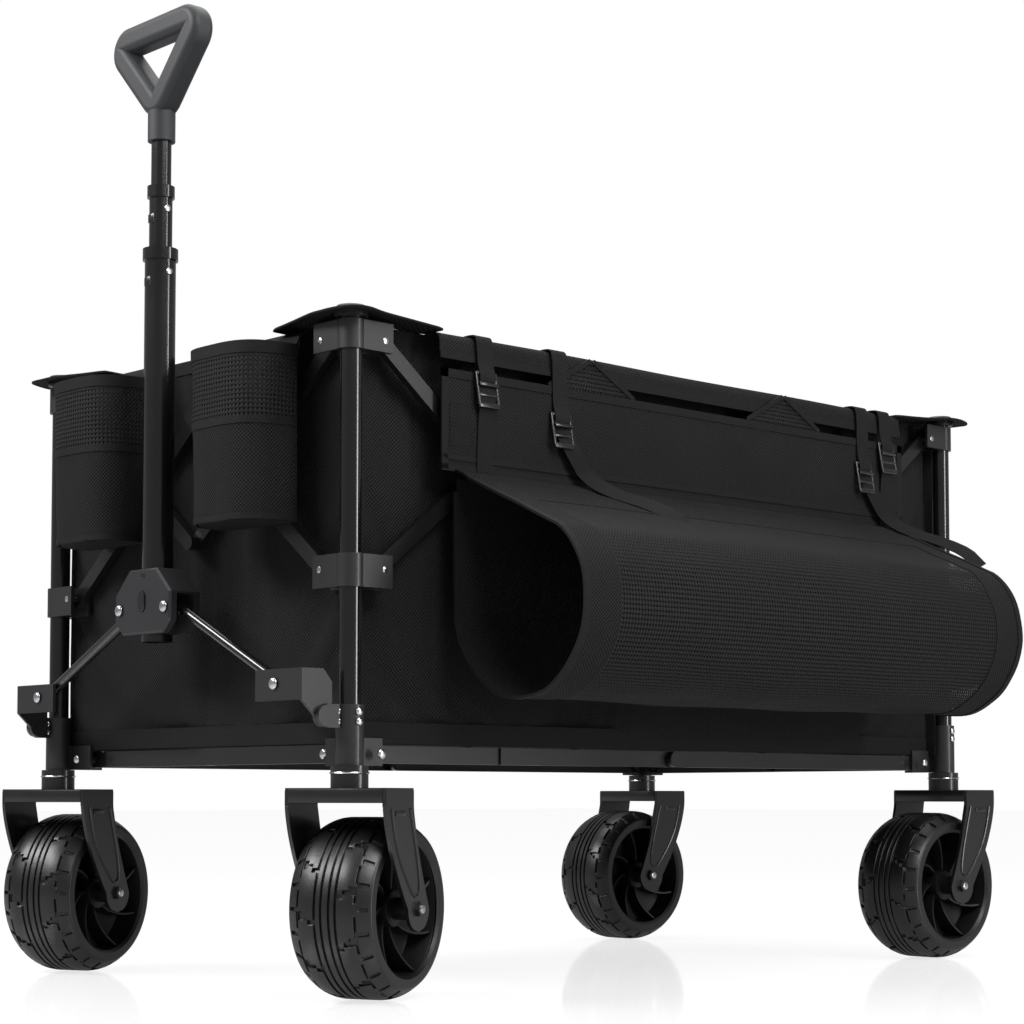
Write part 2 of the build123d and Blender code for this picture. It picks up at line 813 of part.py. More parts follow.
def make_organizer():
    """The side panel on its straps, and the sling sleeve below it."""
    face = half_x + panel_stand
    wall_face = half_x - wall_offset + seat_gap
    section = Plane(origin=(0, sling_half_length, 0), x_dir=(1, 0, 0), z_dir=(0, -1, 0))
    middle_x = face + sling_r
    with BuildPart() as organizer:
        low = (face, -panel_half_length, panel_bottom - seam_overlap)
        high = (face + cloth, panel_half_length, panel_top)
        add(slab(low, high))
        for y in strap_places:
            near, far = y - strap_width / 2, y + strap_width / 2
            add(slab((face, near, panel_top), (face + cloth, far, tab_z + cloth)))
            add(slab((wall_face, near, tab_z), (face, far, tab_z + cloth)))
        for r, mode in ((sling_r, Mode.ADD), (sling_r - cloth, Mode.SUBTRACT)):
            inset = sling_r - r
            reach = panel_bottom - sling_z - inset * 3
            touch = atan2(r, reach)
            with BuildSketch(section):
                with Locations((middle_x, sling_z)):
                    Circle(r)
                with BuildLine():
                    Polyline(
                        (face + inset, panel_bottom - inset * 3),
                        (face + inset, sling_z),
                        (middle_x + r * sin(2 * touch), sling_z + r * cos(2 * touch)),
                        close=True,
                    )
                make_face()
            extrude(amount=2 * sling_half_length, mode=mode)
    return organizer


upper_tube_top = grip_neck_bottom + collar_height

for corner in corners:
    save(make_post(corner), f"post_{corner}")
    save(make_slider(corner), f"slider_{corner}")
    for rail_name, half_rail in make_rails(corner):
        save(half_rail, rail_name)
    turn = front_caster_turn if corner.startswith("front") else rear_caster_turn
    facing = radians(turn)
    base = Plane(origin=corner_point(corner), x_dir=(cos(facing), sin(facing), 0))
    save(make_fork(base), f"caster_fork_{corner}")
    save(make_wheel(base), f"wheel_{corner}")

for side in sides:
    for bar_name, bar in make_bars(side):
        save(bar, bar_name)

for corner in ("front_right", "front_left"):
    hand = corner.split("_")[1]
    save(make_tilt_bracket(corner), f"handle_bracket_{hand}")
    save(make_strut(corner), f"handle_strut_{hand}")

save(make_handle_hub(), "handle_hub")
save(make_release_button(), "handle_release_button")
save(
    make_tube(lower_tube_r, lower_tube_wall, lower_tube_bottom, lower_tube_top, mid_tube_r + slide_clearance),
    "handle_lower_tube",
)
save(
    make_tube(
        mid_tube_r,
        mid_tube_wall,
        mid_tube_bottom,
        mid_tube_top,
        upper_tube_r + slide_clearance,
        lower_tube_r - lower_tube_wall - slide_clearance,
    ),
    "handle_middle_tube",
)
save(make_tube(upper_tube_r, upper_tube_wall, upper_tube_bottom, upper_tube_top), "handle_upper_tube")
save(make_grip(), "handle_grip")

save(make_wall("front_right"), "bag_wall_right")
save(make_wall("front_left"), "bag_wall_front")
save(make_wall("rear_left"), "bag_wall_left")
save(make_wall("rear_right"), "bag_wall_rear")
save(make_floor(), "bag_floor")
save(make_organizer(), "side_organizer")

print(f"bars: post arm {post_arm:.1f}, end arm {end_arm:.1f}, side arm {side_arm:.1f}, crossing z {cross_z:.1f}")
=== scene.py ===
"""Looks of the folding camp wagon: finishes, cloth, wheels, fittings, camera and light."""

import logging
import math
from dataclasses import dataclass
from enum import Enum
from typing import Callable, Iterable, Optional, Sequence

import bpy
from mathutils import Matrix, Vector, noise


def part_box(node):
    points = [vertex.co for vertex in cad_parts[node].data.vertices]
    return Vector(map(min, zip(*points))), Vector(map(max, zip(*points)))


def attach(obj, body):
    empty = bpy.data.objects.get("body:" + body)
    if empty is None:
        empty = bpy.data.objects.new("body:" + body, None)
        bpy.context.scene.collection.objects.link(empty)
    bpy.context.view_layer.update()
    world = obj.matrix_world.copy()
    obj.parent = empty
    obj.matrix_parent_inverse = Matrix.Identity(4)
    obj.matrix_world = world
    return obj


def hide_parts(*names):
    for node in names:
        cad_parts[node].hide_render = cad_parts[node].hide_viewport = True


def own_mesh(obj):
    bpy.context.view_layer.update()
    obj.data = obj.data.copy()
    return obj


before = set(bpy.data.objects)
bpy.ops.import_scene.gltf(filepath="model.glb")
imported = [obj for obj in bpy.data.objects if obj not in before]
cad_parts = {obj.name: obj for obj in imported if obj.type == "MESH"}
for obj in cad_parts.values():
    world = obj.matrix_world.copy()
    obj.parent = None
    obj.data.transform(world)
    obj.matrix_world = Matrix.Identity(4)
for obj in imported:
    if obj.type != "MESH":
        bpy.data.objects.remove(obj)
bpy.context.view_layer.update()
LOG = logging.getLogger("camp_wagon")

HALF_X = 0.2965
HALF_Y = 0.5475
HANDLE_Y = -0.600
RIM_Z = 0.757
FLOOR_Z = 0.2833
WALL_IN = 0.015
TOP_PIVOT_Z = 0.736
EAR = 0.038
LEAN = math.radians(38.5)
LENGTH_KEEP = 0.49
WIDTH_KEEP = 0.51
CORNERS = {
    "front_right": (1, -1),
    "front_left": (-1, -1),
    "rear_right": (1, 1),
    "rear_left": (-1, 1),
}
Point = tuple[float, float, float]
Colour = tuple[float, float, float]


class Pattern(Enum):
    """How a finish breaks up its surface."""

    PEEL = "orange peel of powder coat"
    GRAIN = "moulded grain"
    WEAVE = "plain weave"
    NET = "open net"
    RIBBED = "ribbed tape"
    BRUSHED = "zinc plate"


class NodeBench:
    """Adds and links nodes in one node tree."""

    def __init__(self, tree: bpy.types.NodeTree) -> None:
        """Keeps the tree.

        Args:
            tree: The node tree to work on.
        """
        self.tree = tree
        self.column = 0

    def add(self, kind: str, **values: object) -> bpy.types.Node:
        """Adds a node and sets its properties and inputs.

        Args:
            kind: The node's type name.
            **values: Properties by name, or inputs as in_NAME with _ for a space.

        Returns:
            The new node.
        """
        node = self.tree.nodes.new(kind)
        node.location = (self.column * 180, 0)
        self.column += 1
        for key, value in values.items():
            if key.startswith("in_"):
                node.inputs[key[3:].replace("_", " ")].default_value = value
            else:
                setattr(node, key, value)
        return node

    def link(self, start: bpy.types.NodeSocket, end: bpy.types.NodeSocket) -> None:
        """Links an output to an input."""
        self.tree.links.new(start, end)

    def maths(self, operation: str, first: object, second: object = None) -> bpy.types.NodeSocket:
        """Adds a Math node.

        Args:
            operation: The node's operation.
            first: A socket or a number.
            second: A socket, a number or None.

        Returns:
            The node's output.
        """
        node = self.add("ShaderNodeMath", operation=operation)
        for index, value in enumerate((first, second)):
            if isinstance(value, (int, float)):
                node.inputs[index].default_value = value
            elif value is not None:
                self.link(value, node.inputs[index])
        return node.outputs[0]


def group_tree(
    name: str, inputs: dict[str, float], outputs: Sequence[str]
) -> tuple[bpy.types.NodeTree, NodeBench, dict, dict]:
    """Starts a shared node group with a Vector input, named number inputs and outputs.

    Args:
        name: The group's name.
        inputs: Each number input's name and default.
        outputs: The number outputs' names.

    Returns:
        The tree, its bench, and its input and output sockets by name.
    """
    tree = bpy.data.node_groups.new(name, "ShaderNodeTree")
    tree.interface.new_socket("Vector", in_out="INPUT", socket_type="NodeSocketVector")
    for key, value in inputs.items():
        socket = tree.interface.new_socket(key, in_out="INPUT", socket_type="NodeSocketFloat")
        socket.default_value = value
    for key in outputs:
        tree.interface.new_socket(key, in_out="OUTPUT", socket_type="NodeSocketFloat")
    bench = NodeBench(tree)
    come = bench.add("NodeGroupInput")
    leave = bench.add("NodeGroupOutput")
    return tree, bench, {s.name: s for s in come.outputs}, {s.name: s for s in leave.inputs}


def weave_group() -> bpy.types.NodeTree:
    """Plain weave or net: threads that cross at a pitch in metres.

    Returns:
        The group, with Thread (height of the yarn) and Gap (1 in the holes).
    """
    found = bpy.data.node_groups.get("Crossed threads")
    if found:
        return found
    tree, bench, come, leave = group_tree(
        "Crossed threads", {"Pitch": 0.002, "Opening": 0.2}, ("Thread", "Gap")
    )
    split = bench.add("ShaderNodeSeparateXYZ")
    bench.link(come["Vector"], split.inputs[0])
    waves = []
    for axis in ("X", "Y"):
        turn = bench.maths(
            "MULTIPLY", bench.maths("DIVIDE", split.outputs[axis], come["Pitch"]), 2 * math.pi
        )
        waves.append(bench.maths("SINE", turn))
    product = bench.maths("MULTIPLY", waves[0], waves[1])
    bench.link(bench.maths("MULTIPLY_ADD", product, 0.5), leave["Thread"])
    tree.nodes[-1].inputs[2].default_value = 0.5
    heights = [bench.maths("MULTIPLY", w, 0.5) for w in waves]
    low = bench.maths("MINIMUM", *[bench.maths("ADD", h, 0.5) for h in heights])
    bench.link(bench.maths("LESS_THAN", come["Opening"], low), leave["Gap"])
    return tree


def blotch_group() -> bpy.types.NodeTree:
    """Large and small noise for colour, wear and roughness.

    Returns:
        The group, with Coarse and Fine from 0 to 1.
    """
    found = bpy.data.node_groups.get("Surface break-up")
    if found:
        return found
    tree, bench, come, leave = group_tree(
        "Surface break-up", {"Coarse Scale": 9.0, "Fine Scale": 400.0}, ("Coarse", "Fine")
    )
    for name in ("Coarse", "Fine"):
        cloud = bench.add("ShaderNodeTexNoise", in_Detail=3.0)
        bench.link(come["Vector"], cloud.inputs["Vector"])
        bench.link(come[f"{name} Scale"], cloud.inputs["Scale"])
        bench.link(cloud.outputs["Fac"], leave[name])
    return tree


@dataclass(frozen=True)
class Finish:
    """One finish and the record's slot it belongs to."""

    name: str
    slot: str
    colour: Colour
    # The paler colour: random tone on paint, plastic and zinc; on weave, net and ribbed finishes, painted highlight
    # on the thread crowns.
    bright: Colour
    rough: float
    pattern: Pattern
    metal: float = 0.0
    coat: float = 0.0
    sheen: float = 0.0
    pitch: float = 0.0024
    opening: float = 0.62
    bump: float = 0.0002
    fine: float = 500.0
    specular: float = 0.5

    def material(self) -> bpy.types.Material:
        """The finish's material, made once.

        Returns:
            The material.
        """
        found = bpy.data.materials.get(self.name)
        if found:
            return found
        material = bpy.data.materials.new(self.name)
        material.use_nodes = True
        tree = material.node_tree
        tree.nodes.clear()
        bench = NodeBench(tree)
        out = bench.add("ShaderNodeOutputMaterial")
        shader = bench.add(
            "ShaderNodeBsdfPrincipled",
            in_Metallic=self.metal,
            in_Coat_Weight=self.coat,
            in_Sheen_Weight=self.sheen,
        )
        shader.inputs["Specular IOR Level"].default_value = self.specular
        shader.inputs["Coat Roughness"].default_value = 0.12
        shader.inputs["Sheen Roughness"].default_value = 0.4
        place = bench.add("ShaderNodeTexCoord")
        blotch = bench.add("ShaderNodeGroup", node_tree=blotch_group())
        blotch.inputs["Fine Scale"].default_value = self.fine
        bench.link(place.outputs["Object"], blotch.inputs["Vector"])
        tone_and_crown_highlight = bench.add("ShaderNodeMix", data_type="RGBA")
        tone_and_crown_highlight.inputs["A"].default_value = (*self.colour, 1)
        tone_and_crown_highlight.inputs["B"].default_value = (*self.bright, 1)
        height = blotch.outputs["Fine"]
        share = bench.maths("MULTIPLY", blotch.outputs["Coarse"], 0.7)
        if self.pattern in (Pattern.WEAVE, Pattern.NET, Pattern.RIBBED):
            threads = bench.add("ShaderNodeGroup", node_tree=weave_group())
            threads.inputs["Pitch"].default_value = self.pitch
            threads.inputs["Opening"].default_value = self.opening
            bench.link(place.outputs["UV"], threads.inputs["Vector"])
            height = threads.outputs["Thread"]
            # Painted highlight and shade: the colour runs paler on the thread crowns and darker in the dips between
            # threads, as light falls on the weave.
            share = bench.maths(
                "MULTIPLY",
                bench.maths("POWER", height, 2.0),
                bench.maths("ADD", blotch.outputs["Coarse"], 0.45),
            )
            if self.pattern is Pattern.NET:
                bench.link(
                    bench.maths("SUBTRACT", 1.0, threads.outputs["Gap"]), shader.inputs["Alpha"]
                )
        bench.link(share, tone_and_crown_highlight.inputs["Factor"])
        bench.link(tone_and_crown_highlight.outputs["Result"], shader.inputs["Base Color"])
        rough = bench.maths("MULTIPLY", blotch.outputs["Coarse"], 0.14)
        bench.link(bench.maths("ADD", rough, self.rough - 0.07), shader.inputs["Roughness"])
        bump = bench.add("ShaderNodeBump", in_Strength=1.0, in_Distance=self.bump)
        bench.link(height, bump.inputs["Height"])
        bench.link(bump.outputs[0], shader.inputs["Normal"])
        bench.link(shader.outputs[0], out.inputs[0])
        return material


FRAME_PAINT = Finish(
    "Frame powder coat",
    "frame_paint",
    (0.006, 0.006, 0.0068),
    (0.012, 0.012, 0.0134),
    0.33,
    Pattern.PEEL,
    0.2,
    0.35,
    bump=0.00004,
    fine=160.0,
)
TUBE_PAINT = Finish(
    "Gloss tube coat",
    "tube_paint",
    (0.004, 0.004, 0.005),
    (0.008, 0.008, 0.009),
    0.20,
    Pattern.PEEL,
    0.2,
    0.6,
    bump=0.00001,
    fine=90.0,
)
BRACKET_PAINT = Finish(
    "Satin bracket coat",
    "bracket_paint",
    (0.011, 0.011, 0.0125),
    (0.018, 0.018, 0.0203),
    0.42,
    Pattern.GRAIN,
    0.1,
    0.15,
    bump=0.00005,
    fine=260.0,
)
FORK_PAINT = Finish(
    "Fork coat",
    "fork_paint",
    (0.007, 0.007, 0.0078),
    (0.014, 0.014, 0.0155),
    0.34,
    Pattern.PEEL,
    0.25,
    0.3,
    bump=0.00004,
    fine=160.0,
)
TYRE_RUBBER = Finish(
    "Tyre rubber",
    "tyre_rubber",
    (0.0030, 0.0030, 0.0034),
    (0.008, 0.008, 0.0088),
    0.36,
    Pattern.GRAIN,
    bump=0.0001,
    fine=260.0,
    specular=0.55,
)
HUB_BLACK = Finish(
    "Wheel plastic",
    "wheel_plastic",
    (0.004, 0.004, 0.0046),
    (0.009, 0.009, 0.010),
    0.46,
    Pattern.GRAIN,
    bump=0.00006,
    specular=0.35,
)
HANDLE_HUB = Finish(
    "Handle hub plastic",
    "hub_plastic",
    (0.016, 0.016, 0.018),
    (0.026, 0.026, 0.029),
    0.44,
    Pattern.GRAIN,
    bump=0.00006,
    specular=0.4,
)
BUTTON_BLACK = Finish(
    "Button plastic",
    "button_plastic",
    (0.004, 0.004, 0.005),
    (0.009, 0.009, 0.010),
    0.26,
    Pattern.GRAIN,
    coat=0.4,
    bump=0.00002,
)
GRIP_SOFT = Finish(
    "Grip soft touch",
    "grip_rubber",
    (0.022, 0.023, 0.026),
    (0.034, 0.035, 0.039),
    0.52,
    Pattern.GRAIN,
    sheen=0.1,
    bump=0.00006,
    fine=600.0,
    specular=0.35,
)
ZINC = Finish(
    "Rivet zinc",
    "rivet_zinc",
    (0.50, 0.50, 0.51),
    (0.78, 0.78, 0.79),
    0.24,
    Pattern.BRUSHED,
    1.0,
    bump=0.00002,
)
# The paler colour here is painted highlight on the thread crowns.
OXFORD = Finish(
    "Oxford cloth",
    "bag_fabric",
    (0.0012, 0.0012, 0.0014),
    (0.0270, 0.0270, 0.0288),
    0.78,
    Pattern.WEAVE,
    pitch=0.0046,
    bump=0.0009,
    specular=0.16,
)
# The paler colour here is painted highlight on the thread crowns.
NET = Finish(
    "Net cloth",
    "bag_mesh",
    (0.0018, 0.0018, 0.0020),
    (0.0210, 0.0210, 0.0225),
    0.66,
    Pattern.NET,
    pitch=0.0052,
    opening=0.66,
    bump=0.0007,
    specular=0.2,
)
# The paler colour here is painted highlight on the thread crowns.
TAPE = Finish(
    "Webbing tape",
    "webbing",
    (0.0014, 0.0014, 0.0016),
    (0.0120, 0.0120, 0.0130),
    0.66,
    Pattern.RIBBED,
    pitch=0.0024,
    bump=0.0004,
    specular=0.2,
)


def clear_selection() -> None:
    """Leaves edit mode and deselects every object."""
    if bpy.context.object and bpy.context.object.mode != "OBJECT":
        bpy.ops.object.mode_set(mode="OBJECT")
    bpy.ops.object.select_all(action="DESELECT")


def hold(obj: bpy.types.Object) -> bpy.types.Object:
    """Selects one object alone and makes it active."""
    clear_selection()
    obj.select_set(True)
    bpy.context.view_layer.objects.active = obj
    return obj


def bake_place(obj: bpy.types.Object) -> bpy.types.Object:
    """Moves an object's place into its mesh."""
    bpy.context.view_layer.update()
    obj.data.transform(obj.matrix_world)
    obj.matrix_world = Matrix.Identity(4)
    return obj


def modify(obj: bpy.types.Object, kind: str, **settings: object) -> bpy.types.Object:
    """Adds one modifier and applies it.

    Args:
        obj: The mesh object.
        kind: The modifier's type.
        **settings: Its settings.

    Returns:
        The object.
    """
    hold(obj)
    modifier = obj.modifiers.new(kind.title(), kind)
    for key, value in settings.items():
        setattr(modifier, key, value)
    bpy.ops.object.modifier_apply(modifier=modifier.name)
    return obj


def smooth(obj: bpy.types.Object, angle: float = 40.0) -> bpy.types.Object:
    """Shades an object smooth below an angle in degrees."""
    hold(obj)
    bpy.ops.object.shade_smooth_by_angle(angle=math.radians(angle))
    return obj


def turn_to(axis: Sequence[float]) -> tuple[float, float, float]:
    """The rotation that points local Z along an axis."""
    return tuple(Vector(axis).to_track_quat("Z", "Y").to_euler())


def settle(
    obj: bpy.types.Object,
    body: str,
    finish: Finish,
    replaces: Sequence[str] = (),
    squash: Optional[tuple[Point, Point, float]] = None,
) -> bpy.types.Object:
    """Gives a finished piece its material and body, and hides the CAD nodes it stands for.

    Args:
        obj: The piece, with its place in its mesh.
        body: The body it rides on.
        finish: Its finish, unless it already has materials.
        replaces: The CAD nodes it stands for.
        squash: The axis, anchor and share kept as the frame folds; only whether it is given is used, to give the
            piece its own mesh.

    Returns:
        The piece.
    """
    if not obj.data.materials:
        obj.data.materials.append(finish.material())
    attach(obj, body)
    if replaces:
        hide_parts(*replaces)
    if squash:
        axis, anchor, keep = squash
        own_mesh(obj)
        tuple(axis)
        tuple(anchor)
    LOG.info("%s rides on %s", obj.name, body)
    return obj


def surface(
    name: str,
    columns: int,
    rows: int,
    flat: tuple[float, float],
    place: Callable[[float, float], Sequence[float]],
) -> bpy.types.Object:
    """A cloth surface from a grid, with a UV map in metres of flat cloth.

    Args:
        name: The piece's name.
        columns: Faces along the width.
        rows: Faces along the height.
        flat: The flat width and height.
        place: The point for shares of the width and height.

    Returns:
        The grid, shaped.
    """
    clear_selection()
    bpy.ops.mesh.primitive_grid_add(x_subdivisions=columns, y_subdivisions=rows, size=2.0)
    obj = bpy.context.object
    obj.name = name
    mesh = obj.data
    shares = [((v.co.x + 1) / 2, (v.co.y + 1) / 2) for v in mesh.vertices]
    for loop in mesh.loops:
        u, v = shares[loop.vertex_index]
        mesh.uv_layers.active.data[loop.index].uv = (u * flat[0], v * flat[1])
    for vertex, (u, v) in zip(mesh.vertices, shares):
        vertex.co = place(u, v)
    return obj


def thicken(obj: bpy.types.Object, thickness: float, offset: float = 0.0) -> bpy.types.Object:
    """Gives a cloth surface its thickness."""
    return modify(obj, "SOLIDIFY", thickness=thickness, offset=offset, use_even_offset=False)


def along(points: Sequence[Vector], share: float) -> Vector:
    """The point at a share of a path's length."""
    lengths = [(b - a).length for a, b in zip(points, points[1:])]
    left = share * sum(lengths)
    for start, end, length in zip(points, points[1:], lengths):
        if left <= length:
            return start.lerp(end, left / length)
        left -= length
    return points[-1].copy()


def rounded(points: Sequence[Sequence[float]], steps: int = 3) -> list[Vector]:
    """A path with its corners cut smooth, ends kept.

    Args:
        points: The path's corners.
        steps: How many times the corners are cut.

    Returns:
        The smooth path.
    """
    path = [Vector(p) for p in points]
    for _ in range(steps):
        cut = [path[0]]
        for a, b in zip(path, path[1:]):
            cut += [a.lerp(b, 0.25), a.lerp(b, 0.75)]
        path = cut + [path[-1]]
    return path


def tape(
    name: str,
    points: Sequence[Sequence[float]],
    across: Sequence[float],
    width: float,
    thickness: float = 0.0016,
    rows: int = 48,
    steps: int = 2,
) -> bpy.types.Object:
    """A flat tape that follows a path.

    Args:
        name: The piece's name.
        points: The path of its middle line.
        across: The direction of its width.
        width: Its width.
        thickness: Its thickness.
        rows: Faces along it.
        steps: How smooth its corners are.

    Returns:
        The tape.
    """
    path = rounded(points, steps)
    length = sum((b - a).length for a, b in zip(path, path[1:]))
    side = Vector(across).normalized() * width
    obj = surface(name, rows, 3, (length, width), lambda u, v: along(path, u) + side * (v - 0.5))
    return smooth(thicken(obj, thickness), 50)


def rod(
    name: str,
    start: Sequence[float],
    end: Sequence[float],
    radius: float,
    sides: int = 20,
    soften: float = 0.0008,
) -> bpy.types.Object:
    """A round bar with softened ends between two points."""
    a, b = Vector(start), Vector(end)
    clear_selection()
    bpy.ops.mesh.primitive_cylinder_add(
        vertices=sides,
        radius=radius,
        depth=(b - a).length,
        location=(a + b) / 2,
        rotation=turn_to(b - a),
    )
    obj = bake_place(bpy.context.object)
    obj.name = name
    if soften:
        modify(
            obj,
            "BEVEL",
            width=soften,
            segments=2,
            limit_method="ANGLE",
            angle_limit=math.radians(50),
        )
    return smooth(obj)


def block(
    name: str, low: Sequence[float], high: Sequence[float], soften: float = 0.001, segments: int = 2
) -> bpy.types.Object:
    """A moulded block with softened edges between two corners."""
    a, b = Vector(low), Vector(high)
    clear_selection()
    bpy.ops.mesh.primitive_cube_add(size=1.0, location=(a + b) / 2)
    obj = bpy.context.object
    obj.scale = b - a
    bake_place(obj)
    obj.name = name
    modify(obj, "BEVEL", width=soften, segments=segments)
    return smooth(obj)


def join(name: str, parts: Sequence[bpy.types.Object]) -> bpy.types.Object:
    """Joins parts into one piece."""
    hold(parts[0])
    for part in parts[1:]:
        part.select_set(True)
    if len(parts) > 1:
        bpy.ops.object.join()
    parts[0].name = name
    return parts[0]


def stamped(master: bpy.types.Object, places: Iterable[Matrix]) -> list[bpy.types.Object]:
    """Copies a master shape, each copy with its own mesh, to each place."""
    copies = []
    for place in places:
        copy = master.copy()
        copy.data = master.data.copy()
        bpy.context.collection.objects.link(copy)
        copy.data.transform(place)
        copies.append(copy)
    return copies


def standing(at: Sequence[float], axis: Sequence[float], size: float = 1.0) -> Matrix:
    """A placement with local Z along an axis."""
    turn = Vector(axis).to_track_quat("Z", "Y").to_matrix().to_4x4()
    return Matrix.Translation(Vector(at)) @ turn @ Matrix.Scale(size, 4)


def discard(obj: bpy.types.Object) -> None:
    """Deletes a master shape once it is copied."""
    bpy.data.objects.remove(obj, do_unlink=True)


@dataclass
class SideRun:
    """One side's row of crossed bars, as the frame has them at rest."""

    name: str
    start: tuple[float, float]
    along: tuple[float, float]
    arms: tuple[float, ...]

    def spot(self, run: float, height: float) -> Vector:
        """The point at a run from the first post and a height."""
        return Vector(
            (self.start[0] + self.along[0] * run, self.start[1] + self.along[1] * run, height)
        )

    def outward(self) -> Vector:
        """The direction away from the bag."""
        return Vector((self.along[1], -self.along[0], 0))

    def pivots(self) -> list[Vector]:
        """Every rivet's place on the side.

        Returns:
            The crossings, then the top and bottom pivots.
        """
        level = TOP_PIVOT_Z - self.arms[0] * math.sin(LEAN)
        found, run = [], EAR
        for index, arm in enumerate(self.arms):
            lift = arm * math.sin(LEAN)
            found += [self.spot(run, level + lift), self.spot(run, level - lift)]
            if index < len(self.arms) - 1:
                middle = run + arm * math.cos(LEAN)
                found.append(self.spot(middle, level))
                run = middle + self.arms[index + 1] * math.cos(LEAN)
        return found


@dataclass
class ScissorFrame:
    """Posts, crossed bars, rails and their rivets: CAD parts with paint, and bright domes on every pivot."""

    dome_r: float = 0.0062
    dome_h: float = 0.0026
    post_arm: float = 0.207
    end_arm: float = 0.1233
    side_arm: float = 0.222

    def sides(self) -> list[SideRun]:
        """The four rows of bars."""
        ends = (self.post_arm, self.end_arm, self.post_arm)
        flanks = (self.post_arm, self.side_arm, self.side_arm, self.post_arm)
        return [
            SideRun("right", (HALF_X, -HALF_Y), (0, 1), flanks),
            SideRun("rear", (HALF_X, HALF_Y), (-1, 0), ends),
            SideRun("left", (-HALF_X, HALF_Y), (0, -1), flanks),
            SideRun("front", (-HALF_X, -HALF_Y), (1, 0), ends),
        ]

    def dome(self, radius: float, height: float) -> bpy.types.Object:
        """A rivet head: a round dome with a low rim, flat below.

        Args:
            radius: The rim's radius.
            height: The dome's height.

        Returns:
            The master shape at the origin, up along Z.
        """
        clear_selection()
        bpy.ops.mesh.primitive_uv_sphere_add(segments=20, ring_count=10, radius=radius)
        obj = bpy.context.object
        bpy.ops.object.mode_set(mode="EDIT")
        bpy.ops.mesh.select_all(action="SELECT")
        bpy.ops.mesh.bisect(plane_co=(0, 0, 0), plane_no=(0, 0, 1), clear_inner=True, use_fill=True)
        bpy.ops.mesh.select_all(action="SELECT")
        bpy.ops.transform.resize(value=(1, 1, height / radius))
        bpy.ops.object.mode_set(mode="OBJECT")
        bake_place(obj)
        return smooth(obj, 60)

    def carrier(self, spot: Vector, outward: Vector) -> Optional[tuple[str, float]]:
        """The body whose rivet head stands furthest out at a pivot.

        Args:
            spot: A point on the pivot's axis.
            outward: The axis, away from the bag.

        Returns:
            The body and how far its head reaches from the spot, or None.
        """
        best = None
        for name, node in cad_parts.items():
            if not name.startswith(("post_", "slider_")) and "_bar_" not in name:
                continue
            low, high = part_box(name)
            if any(spot[i] < low[i] - 0.02 or spot[i] > high[i] + 0.02 for i in range(3)):
                continue
            for vertex in node.data.vertices:
                offset = vertex.co - spot
                reach = offset.dot(outward)
                if (offset - outward * reach).length < 0.0062 and (best is None or reach > best[1]):
                    best = (name, reach)
        return best

    def rivets(self) -> None:
        """Sets a bright dome on every pivot of the bars."""
        master = self.dome(self.dome_r, self.dome_h)
        by_body: dict[str, list[Matrix]] = {}
        for side in self.sides():
            for spot in side.pivots():
                found = self.carrier(spot, side.outward())
                if found:
                    body, reach = found
                    at = spot + side.outward() * (reach - 0.0001)
                    by_body.setdefault(body, []).append(standing(at, side.outward()))
        for body, places in by_body.items():
            settle(join(f"rivets_{body}", stamped(master, places)), body, ZINC)
        discard(master)

    def foot_fittings(self) -> None:
        """Adds the clamp screws, the rail hinge rivets and the clip ring at each foot."""
        screw = self.dome(0.0045, 0.0018)
        rivet = self.dome(0.0058, 0.0022)
        for corner, (sx, sy) in CORNERS.items():
            here = Vector((sx * HALF_X, sy * HALF_Y, 0))
            places = []
            for height in (0.308, 0.319):
                places.append(standing(here + Vector((0, sy * 0.0158, height)), (0, sy, 0)))
                places.append(standing(here + Vector((sx * 0.0158, 0, height)), (sx, 0, 0)))
            settle(join(f"foot_screws_{corner}", stamped(screw, places)), f"post_{corner}", ZINC)
            rails = [
                (f"end_rail_{corner}", here + Vector((-sx * 0.045, 0, 0.273)), Vector((0, sy, 0))),
                (f"side_rail_{corner}", here + Vector((0, -sy * 0.045, 0.273)), Vector((sx, 0, 0))),
            ]
            pins = []
            for _, spot, outward in rails:
                reach = 0.0
                for name in (f"post_{corner}", f"end_rail_{corner}", f"side_rail_{corner}"):
                    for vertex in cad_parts[name].data.vertices:
                        offset = vertex.co - spot
                        far = offset.dot(outward)
                        if (offset - outward * far).length < 0.0064:
                            reach = max(reach, far)
                pins.append(standing(spot + outward * (reach - 0.0001), outward))
            settle(join(f"rail_rivets_{corner}", stamped(rivet, pins)), f"post_{corner}", ZINC)
            clear_selection()
            bpy.ops.mesh.primitive_torus_add(
                major_radius=0.0212,
                minor_radius=0.0012,
                major_segments=40,
                minor_segments=8,
                location=here + Vector((0, 0, 0.2515)),
            )
            ring = bake_place(bpy.context.object)
            ring.name = f"clip_ring_{corner}"
            settle(smooth(ring), f"caster_fork_{corner}", ZINC)
        discard(screw)
        discard(rivet)

    def caps(self) -> None:
        """Adds the knurled ring round each post's cap."""
        for corner, (sx, sy) in CORNERS.items():
            _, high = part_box(f"post_{corner}")
            clear_selection()
            bpy.ops.mesh.primitive_cylinder_add(
                vertices=72,
                radius=0.0184,
                depth=0.0075,
                location=(sx * HALF_X, sy * HALF_Y, high.z - 0.0075),
            )
            ring = bake_place(bpy.context.object)
            bpy.ops.object.mode_set(mode="EDIT")
            bpy.ops.mesh.select_all(action="DESELECT")
            bpy.ops.object.mode_set(mode="OBJECT")
            for index, face in enumerate([f for f in ring.data.polygons if abs(f.normal.z) < 0.5]):
                face.select = index % 2 == 0
            bpy.ops.object.mode_set(mode="EDIT")
            bpy.ops.mesh.select_mode(type="FACE")
            bpy.ops.mesh.extrude_region_shrink_fatten(TRANSFORM_OT_shrink_fatten={"value": 0.0009})
            bpy.ops.object.mode_set(mode="OBJECT")
            ring.name = f"cap_knurl_{corner}"
            settle(smooth(ring), f"post_{corner}", BRACKET_PAINT)

